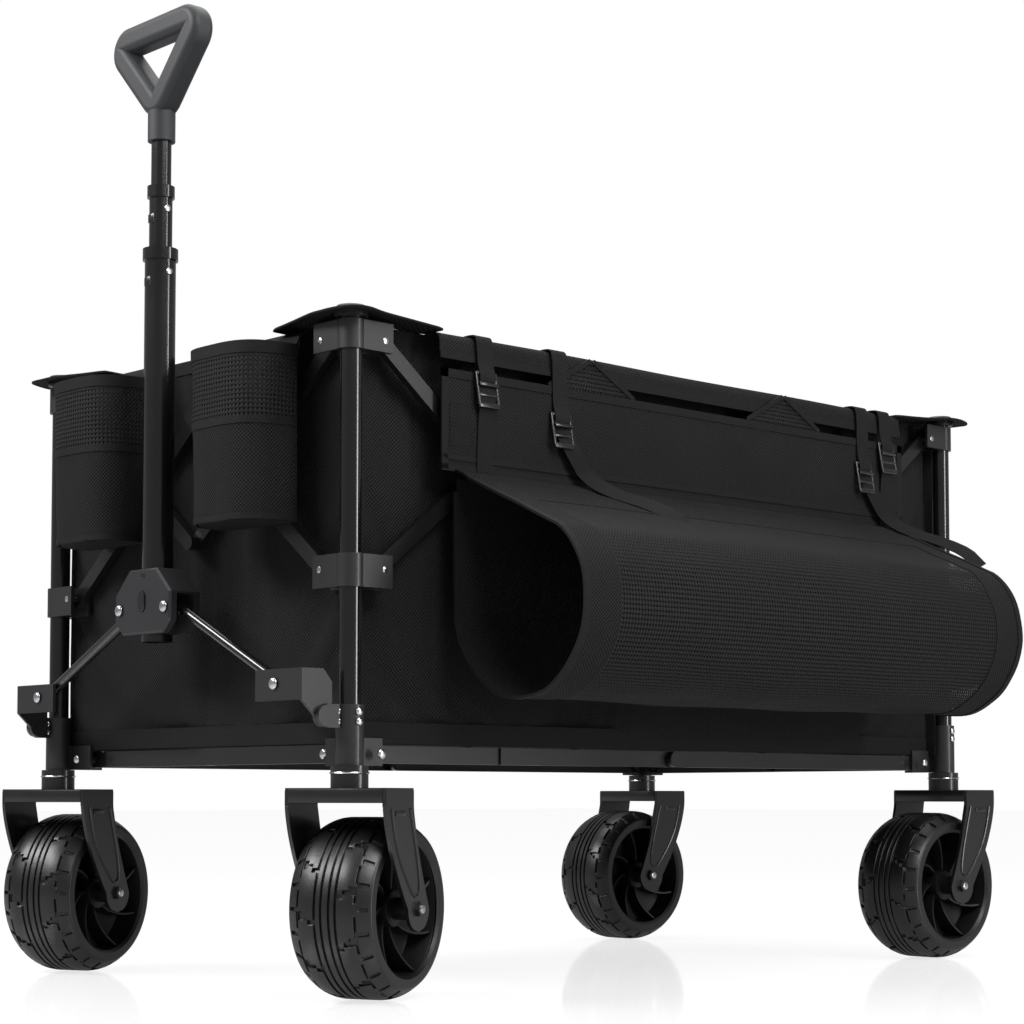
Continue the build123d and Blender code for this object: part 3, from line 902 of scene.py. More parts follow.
    def paint(self) -> None:
        """Gives every CAD part of the frame its finish, by solid where a node has several."""
        for name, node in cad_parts.items():
            if name.startswith("post_"):
                corner = name[5:]
                here = Vector((CORNERS[corner][0] * HALF_X, CORNERS[corner][1] * HALF_Y, 0))
                dress(node, TUBE_PAINT, BRACKET_PAINT)
                for face in node.data.polygons:
                    away = (face.center - here).to_2d().length
                    face.material_index = 0 if away < 0.01262 and 0.3275 < face.center.z < 0.77 else 1
            elif name.startswith(("slider_", "handle_bracket")):
                dress(node, BRACKET_PAINT)
            elif "_bar_" in name or "_rail_" in name:
                dress(node, FRAME_PAINT)

    def build(self) -> None:
        """Dresses the whole frame."""
        self.paint()
        self.rivets()
        self.foot_fittings()
        self.caps()


def dress(node: bpy.types.Object, *finishes: Finish) -> None:
    """Puts finishes on a CAD node's material slots."""
    node.data.materials.clear()
    for finish in finishes:
        node.data.materials.append(finish.material())


@dataclass
class Casters:
    """Four swivel casters with wide treaded tyres on finned hubs."""

    radius: float = 0.1015
    half: float = 0.051
    hub_r: float = 0.0815
    trail: float = 0.045
    steps: int = 132
    fins: int = 8
    front_turn: float = 202.0

    def heading(self, corner: str) -> float:
        """The angle of a caster's axle, in radians."""
        return math.radians(self.front_turn if corner.startswith("front") else 0.0)

    def place(self, corner: str) -> Matrix:
        """The placement that takes a wheel made on local X at the origin to its corner."""
        sx, sy = CORNERS[corner]
        turn = self.heading(corner)
        back = Vector((math.sin(turn), -math.cos(turn), 0)) * self.trail
        return Matrix.Translation(
            Vector((sx * HALF_X, sy * HALF_Y, self.radius)) + back
        ) @ Matrix.Rotation(turn, 4, "Z")

    def tread_cut(self, step: int, across: float) -> bool:
        """Whether the tread is cut away at a step round the tyre and a place across it.

        Args:
            step: The step round the tyre.
            across: The place across it, in metres from the middle.

        Returns:
            True in a groove.
        """
        side = abs(across)
        other = 0 if across > 0 else 6
        if 0.0035 < side < 0.0062 or 0.0115 < side < 0.0142:
            return True
        if 0.0142 <= side < 0.021:
            return (step + other + 3) % 12 == 0
        if 0.021 <= side < 0.0275:
            return (step + other + 2) % 12 == 0
        if 0.0275 <= side < 0.034:
            return (step + other + 1) % 12 == 0 or (step + other + 2) % 12 == 0
        if 0.034 <= side < 0.0365:
            return (step + other) % 12 not in (5, 6, 7)
        if 0.0365 <= side < 0.0475:
            return (step + other) % 6 == 0
        return False

    def tyre(self) -> bpy.types.Object:
        """The tyre, about local X: a drum whose tread grooves are cut in and whose shoulders are round.

        Returns:
            The master tyre.
        """
        clear_selection()
        bpy.ops.mesh.primitive_cylinder_add(
            vertices=self.steps,
            radius=self.radius,
            depth=2 * self.half,
            end_fill_type="NOTHING",
            rotation=(0, math.pi / 2, 0),
        )
        obj = bake_place(bpy.context.object)
        hold(obj)
        bpy.ops.object.mode_set(mode="EDIT")
        cuts = [0.0035, 0.0062, 0.0115, 0.0142, 0.021, 0.0275, 0.034, 0.0365, 0.0420, 0.0475]
        for cut in [-c for c in cuts] + cuts:
            bpy.ops.mesh.select_all(action="SELECT")
            bpy.ops.mesh.bisect(plane_co=(cut, 0, 0), plane_no=(1, 0, 0))
        bpy.ops.mesh.select_all(action="DESELECT")
        bpy.ops.object.mode_set(mode="OBJECT")
        for face in obj.data.polygons:
            turn = math.atan2(face.center.z, face.center.y) / (2 * math.pi) % 1
            face.select = self.tread_cut(int(turn * self.steps), face.center.x)
        bpy.ops.object.mode_set(mode="EDIT")
        bpy.ops.mesh.select_mode(type="FACE")
        bpy.ops.mesh.extrude_region_shrink_fatten(TRANSFORM_OT_shrink_fatten={"value": -0.0034})
        bpy.ops.mesh.select_all(action="DESELECT")
        bpy.ops.mesh.select_mode(type="EDGE")
        bpy.ops.object.mode_set(mode="OBJECT")
        for vertex in obj.data.vertices:
            side = abs(vertex.co.x) / self.half
            drop = 0.0135 * max(0.0, side - 0.35) ** 2.2 / 0.65 ** 2.2
            radial = Vector((0, vertex.co.y, vertex.co.z))
            vertex.co -= radial.normalized() * drop
        for sign in (-1, 1):
            for reach, inset in ((0.0, 0.004), (0.0, 0.0065), (-0.003, 0.004)):
                bpy.ops.object.mode_set(mode="OBJECT")
                edges = obj.data.edges
                counts: dict[int, int] = {}
                for face in obj.data.polygons:
                    for key in face.edge_keys:
                        counts[key] = counts.get(key, 0) + 1
                for edge in edges:
                    ends = [obj.data.vertices[i].co.x * sign for i in edge.vertices]
                    edge.select = counts.get(edge.key, 0) == 1 and min(ends) > 0
                bpy.ops.object.mode_set(mode="EDIT")
                bpy.ops.mesh.extrude_edges_move(
                    TRANSFORM_OT_translate={"value": (sign * reach, 0, 0)}
                )
                ring = 1 - inset / 0.088
                bpy.ops.transform.resize(value=(1, ring, ring), center_override=(0, 0, 0))
                bpy.ops.object.mode_set(mode="OBJECT")
                bpy.ops.object.mode_set(mode="EDIT")
                bpy.ops.mesh.select_all(action="DESELECT")
        bpy.ops.object.mode_set(mode="OBJECT")
        modify(
            obj,
            "BEVEL",
            width=0.0006,
            segments=1,
            limit_method="ANGLE",
            angle_limit=math.radians(48),
        )
        obj.name = "tyre_master"
        return smooth(obj, 35)

    def hub(self) -> bpy.types.Object:
        """The hub, about local X: a stepped rim, a dished web, swirled fins and a bored boss.

        Returns:
            The master hub.
        """
        parts = []
        clear_selection()
        bpy.ops.mesh.primitive_cylinder_add(
            vertices=72,
            radius=self.hub_r,
            depth=2 * self.half - 0.010,
            end_fill_type="NGON",
            rotation=(0, math.pi / 2, 0),
        )
        rim = bake_place(bpy.context.object)
        hold(rim)
        bpy.ops.object.mode_set(mode="EDIT")
        bpy.ops.mesh.select_all(action="DESELECT")
        for sign in (-1, 1):
            bpy.ops.object.mode_set(mode="OBJECT")
            for face in rim.data.polygons:
                face.select = face.normal.x * sign > 0.9
            bpy.ops.object.mode_set(mode="EDIT")
            bpy.ops.mesh.select_mode(type="FACE")
            for inset, deep in ((0.0035, 0.002), (0.0028, 0.016), (0.0015, 0.012), (0.042, 0.004)):
                bpy.ops.mesh.inset(thickness=inset, depth=0)
                bpy.ops.transform.translate(value=(-sign * deep, 0, 0))
            bpy.ops.mesh.select_all(action="DESELECT")
        bpy.ops.object.mode_set(mode="OBJECT")
        modify(
            rim,
            "BEVEL",
            width=0.0008,
            segments=2,
            limit_method="ANGLE",
            angle_limit=math.radians(40),
        )
        parts.append(rim)
        for sign in (-1, 1):
            boss = rod("boss", (sign * 0.006, 0, 0), (sign * 0.0545, 0, 0), 0.0125, 32, 0.0015)
            collar = rod("collar", (sign * 0.006, 0, 0), (sign * 0.034, 0, 0), 0.021, 40, 0.003)
            parts += [boss, collar]
            clear_selection()
            bpy.ops.mesh.primitive_cube_add(size=1.0)
            fin = bpy.context.object
            fin.scale = (0.026, 0.0036, 0.0600)
            bake_place(fin)
            hold(fin)
            bpy.ops.object.mode_set(mode="EDIT")
            for height in (-0.022, -0.014, -0.006, 0.002, 0.010, 0.018, 0.026):
                bpy.ops.mesh.select_all(action="SELECT")
                bpy.ops.mesh.bisect(plane_co=(0, 0, height), plane_no=(0, 0, 1))
            bpy.ops.object.mode_set(mode="OBJECT")
            for vertex in fin.data.vertices:
                share = (vertex.co.z + 0.030) / 0.060
                outer = (vertex.co.x * sign > 0) * (0.010 * share - 0.004 + 0.006 * share * share)
                radius = 0.0175 + share * 0.0585
                turn = sign * (-0.50 * share + 0.10) + vertex.co.y / radius
                vertex.co = (
                    sign * (0.018 + outer) + vertex.co.x,
                    radius * math.sin(turn),
                    radius * math.cos(turn),
                )
            modify(fin, "BEVEL", width=0.0008, segments=2)
            smooth(fin)
            parts += stamped(
                fin,
                [Matrix.Rotation(2 * math.pi * i / self.fins, 4, "X") for i in range(self.fins)],
            )
            discard(fin)
        return smooth(join("hub_master", parts), 40)

    def leg_plate(self, across: float) -> bpy.types.Object:
        """A fork leg's outer plate, wide at the crown and round at the axle.

        Args:
            across: Its place along the axle.

        Returns:
            The plate, at a caster with no turn.
        """
        foot, wide = 0.0252, 0.0328

        def spot(u: float, v: float) -> Vector:
            run = 0.2325 - (0.2325 - self.radius + foot) * v
            share = min(1.0, max(0.0, (0.2170 - run) / (0.2170 - self.radius)))
            half = wide + (foot - wide) * share ** 2.2
            if run < self.radius:
                half = math.sqrt(max(0.0, foot * foot - (self.radius - run) ** 2))
            return Vector((across, -self.trail * share ** 1.5 + (u * 2 - 1) * half, run))

        obj = surface("leg_plate", 12, 44, (0.066, 0.15), spot)
        thicken(obj, 0.0044)
        return smooth(obj, 50)

    def leg_relief(self, corner: str) -> None:
        """Adds the pressed U-bead, the small window frame and the bolt heads to a fork's legs."""
        turn = self.heading(corner)
        sx, sy = CORNERS[corner]
        base = Matrix.Translation((sx * HALF_X, sy * HALF_Y, 0)) @ Matrix.Rotation(turn, 4, "Z")
        parts, bolts = [], []
        for sign in (-1, 1):
            face = sign * 0.0633
            path = [
                (face, 0.0200, 0.212),
                (face, 0.0140, 0.186),
                (face, 0.0020, 0.158),
                (face, -0.0220, 0.127),
                (face, -0.0360, 0.113),
                (face, -0.0480, 0.121),
                (face, -0.0430, 0.150),
                (face, -0.0330, 0.184),
                (face, -0.0240, 0.212),
            ]
            line = rounded(path, 2)
            curve = bpy.data.curves.new("bead", "CURVE")
            curve.dimensions = "3D"
            curve.bevel_depth = 0.0016
            curve.bevel_resolution = 2
            spline = curve.splines.new("POLY")
            spline.points.add(len(line) - 1)
            for point, at in zip(spline.points, line):
                point.co = (*at, 1)
            bead = bpy.data.objects.new("bead", curve)
            bpy.context.collection.objects.link(bead)
            hold(bead)
            bpy.ops.object.convert(target="MESH")
            parts.append(smooth(bpy.context.object))
            parts.append(self.leg_plate(sign * 0.0609))
            parts.append(block("window", (face - 0.0008, -0.011, 0.204), (face + 0.0008, 0.011, 0.210), 0.0006))
            bolt = rod(
                "bolt",
                (sign * 0.0660, -self.trail, self.radius),
                (sign * 0.0692, -self.trail, self.radius),
                0.0052,
                20,
                0.0012,
            )
            bolts.append(bolt)
        for edge in (-0.0325, 0.0325):
            parts.append(block("lip", (-0.0588, edge - 0.0013, 0.2185), (0.0588, edge + 0.0013, 0.2340), 0.0010))
        relief = join(f"fork_relief_{corner}", parts)
        relief.data.transform(base)
        settle(relief, f"caster_fork_{corner}", FORK_PAINT)
        heads = join(f"axle_bolts_{corner}", bolts)
        heads.data.transform(base)
        settle(heads, f"caster_fork_{corner}", ZINC)

    def build(self) -> None:
        """Builds the wheels once and copies them to the corners."""
        tyre, hub = self.tyre(), self.hub()
        for corner in CORNERS:
            place = self.place(corner)
            (ring,) = stamped(tyre, [place])
            ring.name = f"tyre_{corner}"
            settle(ring, f"wheel_{corner}", TYRE_RUBBER, replaces=[f"wheel_{corner}"])
            (centre,) = stamped(hub, [place])
            centre.name = f"hub_{corner}"
            settle(centre, f"wheel_{corner}", HUB_BLACK)
            dress(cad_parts[f"caster_fork_{corner}"], FORK_PAINT)
            self.leg_relief(corner)
        discard(tyre)
        discard(hub)


@dataclass
class PullHandle:
    """The handle's finishes and small parts: rivets, snap buttons, windows and the hub's marks."""

    def snaps(self, body: str, height: float, radius: float, name: str) -> None:
        """Adds a square window on the front and a round button on the side of a tube.

        Args:
            body: The tube's body.
            height: The window's height.
            radius: The tube's radius.
            name: The pair's name.
        """
        front = block(
            f"{name}_window",
            (-0.0055, HANDLE_Y - radius - 0.0012, height - 0.0055),
            (0.0055, HANDLE_Y - radius + 0.002, height + 0.0055),
            0.0012,
        )
        settle(front, body, BUTTON_BLACK)
        side = rod(
            f"{name}_button",
            (radius - 0.002, HANDLE_Y, height + 0.012),
            (radius + 0.0016, HANDLE_Y, height + 0.012),
            0.0042,
            20,
            0.001,
        )
        settle(side, body, ZINC)

    def build(self) -> None:
        """Dresses the CAD parts and adds the small ones."""
        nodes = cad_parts
        for name in (
            "handle_lower_tube",
            "handle_middle_tube",
            "handle_upper_tube",
            "handle_strut_right",
            "handle_strut_left",
        ):
            dress(nodes[name], TUBE_PAINT)
        dress(nodes["handle_hub"], HANDLE_HUB)
        dress(nodes["handle_release_button"], BUTTON_BLACK)
        dress(nodes["handle_grip"], GRIP_SOFT)
        dome = ScissorFrame().dome(0.0068, 0.0028)
        low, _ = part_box("handle_hub")
        spots = [standing((x, low.y, 0.447), (0, -1, 0)) for x in (-0.046, 0.046)]
        settle(join("hub_rivets", stamped(dome, spots)), "handle_hub", ZINC)
        slot = block(
            "hub_slot_mark", (-0.005, low.y - 0.0006, 0.482), (0.005, low.y + 0.001, 0.489), 0.0005
        )
        settle(slot, "handle_hub", BUTTON_BLACK)
        for side, x in (("right", 0.243), ("left", -0.243)):
            face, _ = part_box(f"handle_bracket_{side}")
            settle(
                join(
                    f"plate_rivet_{side}", stamped(dome, [standing((x, face.y, 0.350), (0, -1, 0))])
                ),
                f"handle_bracket_{side}",
                ZINC,
            )
        discard(dome)
        self.snaps("handle_hub", 0.838, 0.0185, "lower_snap")
        self.snaps("handle_middle_tube", 0.915, 0.0138, "middle_snap")


def ripple(point: Sequence[float], scale: float, size: float) -> float:
    """A smooth, repeatable unevenness at a point.

    Args:
        point: The point.
        scale: How many ripples to a metre.
        size: The largest height.

    Returns:
        The height there.
    """
    return noise.noise(Vector(point) * scale) * size


def slacken(
    obj: bpy.types.Object,
    pinned: Callable[[Vector], bool],
    slack: float,
    outward: Sequence[float],
    most_out: float,
    most_in: float,
) -> bpy.types.Object:
    """Lets a sheet hang by cloth simulation, and keeps it clear of what is on either side.

    Args:
        obj: The sheet.
        pinned: Whether a point is held.
        slack: The share of spare cloth.
        outward: The direction away from the bag.
        most_out: The most that it may move outward.
        most_in: The most that it may move inward.

    Returns:
        The sheet, at rest.
    """
    out = Vector(outward)
    start = [v.co.copy() for v in obj.data.vertices]
    for vertex in obj.data.vertices:
        if not pinned(vertex.co):
            vertex.co += out * (ripple(vertex.co, 9.0, 0.0022) - 0.0006)
    group = obj.vertex_groups.new(name="held")
    group.add([v.index for v in obj.data.vertices if pinned(v.co)], 1.0, "REPLACE")
    hold(obj)
    cloth = obj.modifiers.new("Cloth", "CLOTH")
    settings = cloth.settings
    settings.vertex_group_mass = "held"
    settings.quality = 4
    settings.mass = 0.3
    settings.tension_stiffness = 25
    settings.compression_stiffness = 15
    settings.bending_stiffness = 0.6
    settings.shrink_min = -slack
    settings.effector_weights.gravity = 1.0
    cloth.collision_settings.use_collision = False
    scene = bpy.context.scene
    scene.frame_start, scene.frame_end = 1, 22
    for step in range(1, 23):
        scene.frame_set(step)
    bpy.ops.object.modifier_apply(modifier="Cloth")
    scene.frame_set(1)
    obj.vertex_groups.clear()
    for vertex, rest in zip(obj.data.vertices, start):
        move = vertex.co - rest
        depth = move.dot(out)
        flat = move - out * depth
        if flat.length > 0.006:
            flat *= 0.006 / flat.length
        depth = math.copysign(min(abs(depth), 0.02), depth)
        limit = most_out if depth > 0 else most_in
        depth = limit * math.tanh(depth / limit)
        vertex.co = rest + flat + out * depth
    return obj


@dataclass
class CampBag:
    """The cloth bag: four hanging walls, corner flaps, rim flaps with net gussets, bottle pockets and a padded floor."""

    cloth: float = 0.0022
    flap_r: float = 0.038
    flap_reach: float = 0.122
    pocket_x: float = 0.146
    pocket_w: float = 0.138
    pocket_d: float = 0.072
    pocket_low: float = 0.536
    pocket_high: float = 0.737
    net_low: float = 0.649

    def squash(self, side: str) -> tuple[Point, Point, float]:
        """How the cloth on a side gathers as the frame folds."""
        return {
            "right": ((0, 1, 0), (HALF_X, -0.5295, 0.5), LENGTH_KEEP),
            "left": ((0, 1, 0), (-HALF_X, 0.5295, 0.5), LENGTH_KEEP),
            "front": ((1, 0, 0), (-0.2785, -HALF_Y, 0.5), WIDTH_KEEP),
            "rear": ((1, 0, 0), (0.2785, HALF_Y, 0.5), WIDTH_KEEP),
        }[side]

    def wall(self, side: str, node: str, body: str) -> None:
        """One wall: a sheet held along its rim, its foot and its ends.

        Args:
            side: The side's name.
            node: The CAD node that it stands for.
            body: The body that carries it.
        """
        long = side in ("right", "left")
        half = 0.5285 if long else 0.2955
        sign = 1 if side in ("right", "rear") else -1
        depth = (HALF_X if long else HALF_Y) - WALL_IN - (0.0012 if long else 0.0022)
        high, low = 0.7588, FLOOR_Z + 0.001

        def spot(u: float, v: float) -> Vector:
            run = (u * 2 - 1) * half
            height = low + (high - low) * v
            return Vector(
                (sign * depth, run, height)
            ) if long else Vector((run, sign * depth, height))

        columns = 128 if long else 72
        obj = surface(f"bag_{side}_sheet", columns, 56, (2 * half, high - low), spot)
        outward = Vector((sign, 0, 0)) if long else Vector((0, sign, 0))

        def pinned(at: Vector) -> bool:
            run = at.y if long else at.x
            return at.z > high - 0.004 or at.z < low + 0.012 or abs(run) > half - 0.006

        slacken(obj, pinned, 0.012, outward, 0.0022, 0.010)
        thicken(obj, self.cloth)
        smooth(obj, 60)
        settle(obj, body, OXFORD, replaces=[node], squash=self.squash(side))
        base = depth + 0.0016
        height = low + 0.013
        ends = (spot(0.002, 0), spot(0.998, 0))
        path = [Vector((sign * base, p.y, height)) if long else Vector((p.x, sign * base, height)) for p in ends]
        obj = tape(f"foot_hem_{side}", path, (0, 0, 1), 0.024, 0.0018, rows=40, steps=0)
        settle(obj, body, TAPE, squash=self.squash(side))

    def rim(self, side: str, body: str) -> None:
        """The rim: cloth folded outward over the bars, with a bound edge, and net gussets over the middle joints on the long sides."""
        long = side in ("right", "left")
        sign = 1 if side in ("right", "rear") else -1
        half = 0.430 if long else 0.185
        at = HALF_X if long else HALF_Y
        inner, outer = at - 0.0175, at + 0.0152

        def spot(u: float, v: float) -> Vector:
            run = (u * 2 - 1) * half
            end = max(0.0, abs(u * 2 - 1) - 0.86) / 0.14
            section = rounded(
                [(inner, 0.7568), (at, 0.7592), (outer, 0.7572), (outer + 0.0004, 0.7285)], 2
            )
            point = along(section, v)
            away = point.x + ripple((run, 3.0, v), 11.0, 0.0006)
            height = point.y - 0.0006 * math.cos(
                run * 14
            ) + end * end * 0.012 * (v > 0.55) * (v - 0.55)
            return Vector(
                (sign * away, run, height)
            ) if long else Vector((run, sign * away, height))

        if long:
            obj = surface(f"rim_band_{side}", 96, 16, (2 * half, 0.062), spot)
        else:
            path = [
                (-half, sign * (inner + 0.0012), 0.7505), (half, sign * (inner + 0.0012), 0.7505)
            ]
            obj = tape(f"rim_band_{side}", path, (0, 0, 1), 0.016, 0.003, rows=48, steps=0)
        if long:
            thicken(obj, 0.0014)
            smooth(obj, 60)
        settle(obj, body, OXFORD if long else TAPE, squash=self.squash(side))
        if not long:
            return
        edge = [(sign * (outer + 0.0012), -half, 0.7325), (sign * (outer + 0.0012), half, 0.7325)]
        settle(
            tape(f"rim_binding_{side}", edge, (0, 0, 1), 0.009, 0.0022, rows=60, steps=0),
            body,
            TAPE,
            squash=self.squash(side),
        )
        for index, middle in enumerate((-0.185, 0.176)):
            away = outer + 0.0024

            def gusset(u: float, v: float, middle: float = middle, away: float = away) -> Vector:
                spread = 0.068 * (1 - v) + 0.004
                return Vector((sign * (away + 0.0012 * math.sin(u * math.pi) * (1 - v)), middle + (u * 2 - 1) * spread, 0.7165 + 0.037 * v))

            piece = surface(f"gusset_{side}_{index}", 16, 8, (0.14, 0.037), gusset)
            settle(smooth(thicken(piece, 0.0012), 60), body, NET, squash=self.squash(side))
            for hand in (-1, 1):
                line = [
                    (sign * (away + 0.001), middle + hand * 0.074, 0.7165),
                    (sign * (away + 0.001), middle + hand * 0.003, 0.7545),
                ]
                settle(
                    tape(
                        f"gusset_{side}_{index}_edge_{'near' if hand < 0 else 'far'}",
                        line,
                        (0, 0.4 * hand, 1),
                        0.006,
                        0.0018,
                        rows=10,
                        steps=0,
                    ),
                    body,
                    TAPE,
                    squash=self.squash(side),
                )

    def flap_edge(self, angle: float, corner: str) -> float:
        """How far a corner flap reaches from its post at an angle.

        Args:
            angle: The angle about the post, in radians.
            corner: The corner's name.

        Returns:
            The reach.
        """
        sx, sy = CORNERS[corner]
        way = Vector((math.cos(angle) * sx, math.sin(angle) * sy))
        inside, slope = 0.0172, (self.flap_r - 0.0165) / self.flap_reach
        if way.x >= 0 and way.y >= 0:
            return self.flap_r
        if way.x < 0 and way.y < 0:
            first = min(self.flap_reach / -way.x, inside / -way.y)
            second = min(self.flap_reach / -way.y, inside / -way.x)
            return max(first, second)
        run, off = (-way.x, way.y) if way.x < 0 else (-way.y, way.x)
        return min(self.flap_r / max(off + slope * run, 1e-6), self.flap_reach / run)

    def corner_flap(self, corner: str, body: str) -> None:
        """The curved cloth flap from under a post's cap down to both rims, with its bound edge."""
        sx, sy = CORNERS[corner]
        here = Vector((sx * HALF_X, sy * HALF_Y, 0))

        def spot(u: float, v: float) -> Vector:
            angle = u * 2 * math.pi
            reach = self.flap_edge(angle, corner)
            radius = 0.0135 + (reach - 0.0135) * v
            drop = 0.0125 * (1 - math.exp(-radius / 0.028)) + 0.0012 * v * math.sin(angle * 3)
            return here + Vector(
                (math.cos(angle) * radius, math.sin(angle) * radius, 0.7722 - drop)
            )

        obj = surface(f"corner_flap_{corner}", 160, 12, (0.40, 0.06), spot)
        modify(obj, "WELD", merge_threshold=0.00005)
        thicken(obj, 0.0016)
        settle(smooth(obj, 60), body, OXFORD)
        edge = [spot(i / 160, 1.0) for i in range(161)]
        curve = bpy.data.curves.new("edge", "CURVE")
        curve.dimensions = "3D"
        curve.bevel_depth = 0.0019
        curve.bevel_resolution = 2
        spline = curve.splines.new("POLY")
        spline.points.add(len(edge) - 1)
        for point, at in zip(spline.points, edge):
            point.co = (*at, 1)
        ring = bpy.data.objects.new(f"corner_binding_{corner}", curve)
        bpy.context.collection.objects.link(ring)
        hold(ring)
        bpy.ops.object.convert(target="MESH")
        settle(smooth(bpy.context.object, 60), body, TAPE)

    def pocket(self, hand: str) -> None:
        """One bottle pocket: a net band over a solid cloth cup, bound at its mouth and hung from the rim."""
        sign = 1 if hand == "right" else -1
        middle = sign * self.pocket_x + 0.004
        back = -HALF_Y - 0.0142
        front = back - self.pocket_d
        half = self.pocket_w / 2
        body = "post_front_left"
        keep = self.squash("front")
        outline = []
        for step in range(49):
            angle = math.pi * (1 - step / 48)
            across = math.copysign(abs(math.cos(angle)) ** 0.62, math.cos(angle))
            outline.append(Vector((middle + half * across, back - self.pocket_d * abs(math.sin(angle)) ** 0.62, 0)))
        length = sum((b - a).length for a, b in zip(outline, outline[1:]))

        def ring(low: float, high: float, grow: float) -> Callable[[float, float], Vector]:
            def spot(u: float, v: float) -> Vector:
                height = low + (high - low) * v
                share = (height - self.pocket_low) / (self.pocket_high - self.pocket_low)
                shrink = 1.0 - 0.055 * (1 - share) ** 2 - 0.012 * math.sin(math.pi * share)
                at = along(outline, u)
                pull = Vector(
                    (middle + (at.x - middle) * shrink, back + (at.y - back) * shrink, height)
                )
                away = Vector((pull.x - middle, pull.y - (back + front) / 2, 0)).normalized()
                puff = grow + ripple(
                    (pull.x, pull.y, height), 26.0, 0.0013
                ) * math.sin(math.pi * u) ** 0.5
                return pull + away * (puff - 0.0016)
            return spot

        cup = surface(
            f"pocket_{hand}_cup", 72, 20, (length, 0.112), ring(self.pocket_low, self.net_low, 0)
        )
        net = surface(
            f"pocket_{hand}_net",
            72,
            12,
            (length, 0.082),
            ring(self.net_low, self.pocket_high - 0.004, 0),
        )
        for obj, finish, high in ((cup, OXFORD, 0.113), (net, NET, 0.084)):
            settle(smooth(thicken(obj, 0.0018), 60), body, finish, squash=keep)
        for name, height, width, grow in (
            ("mouth", self.pocket_high - 0.006, 0.014, 0.0012),
            ("seam", self.net_low, 0.009, 0.0012),
            ("foot", self.pocket_low + 0.004, 0.007, 0.0010),
        ):
            band = surface(
                f"pocket_{hand}_{name}",
                72,
                2,
                (length, width),
                ring(height - width / 2, height + width / 2, grow),
            )
            settle(smooth(thicken(band, 0.0016), 60), body, TAPE, squash=keep)

        def panel(u: float, v: float) -> Vector:
            height = self.pocket_low + (RIM_Z - self.pocket_low) * v
            lean = max(0.0, (height - 0.738) / 0.019)
            return Vector((middle + (u * 2 - 1) * (half - 0.002), back - 0.0004 + 0.0165 * lean * lean, height))

        rear = surface(f"pocket_{hand}_back", 20, 24, (2 * half, 0.222), panel)
        settle(smooth(thicken(rear, 0.0018), 60), body, OXFORD, squash=keep)

        def base(u: float, v: float) -> Vector:
            deep = self.pocket_d * 0.93 * v
            wide = 0.93 * (half - 0.002) * max(0.25, 1 - v ** 3.2) ** 0.5
            return Vector((middle + wide * (u * 2 - 1), back - 0.001 - deep, self.pocket_low + 0.001 - 0.001 * math.sin(math.pi * u)))

        under = surface(f"pocket_{hand}_base", 16, 10, (2 * half, self.pocket_d), base)
        settle(smooth(thicken(under, 0.0018), 60), body, OXFORD, squash=keep)

    def floor_pads(self) -> None:
        """The padded floor in two halves that tilt with the rails below, each with sewn channels."""
        for name, near in (("front", True), ("rear", False)):
            low_y, high_y = (-0.5262, -0.001) if near else (0.001, 0.5262)

            def spot(u: float, v: float) -> Vector:
                x = (u * 2 - 1) * 0.2765
                y = low_y + (high_y - low_y) * v
                edge = min((1 - abs(u * 2 - 1)) * 0.2765, min(v, 1 - v) * 0.5252)
                crown = 0.0052 * (1 - math.exp(-edge / 0.012))
                channel = 0.0022 * sum(
                    math.exp(-((y - low_y) / 0.5252 - k / 3) ** 2 / 0.00012) for k in (1, 2)
                )
                return Vector((x, y, 0.2893 + crown - channel + ripple((x, y, 0), 14.0, 0.0005)))

            obj = surface(f"floor_pad_{name}", 64, 72, (0.553, 0.5252), spot)
            thicken(obj, 0.0052, -1.0)
            smooth(obj, 60)
            body = f"side_rail_{name}_right"
            settle(
                obj,
                body,
                OXFORD,
                replaces=["bag_floor"] if near else [],
                squash=((1, 0, 0), (0.2765, 0, 0.29), WIDTH_KEEP),
            )

    def build(self) -> None:
        """Builds every part of the bag."""
        walls = (
            ("right", "bag_wall_right", "post_front_right"),
            ("front", "bag_wall_front", "post_front_left"),
            ("left", "bag_wall_left", "post_rear_left"),
            ("rear", "bag_wall_rear", "post_rear_right"),
        )
        for side, node, body in walls:
            self.wall(side, node, body)
            self.rim(side, body)
        for corner in CORNERS:
            self.corner_flap(corner, f"post_{corner}")
        for hand in ("right", "left"):
            self.pocket(hand)
        self.floor_pads()


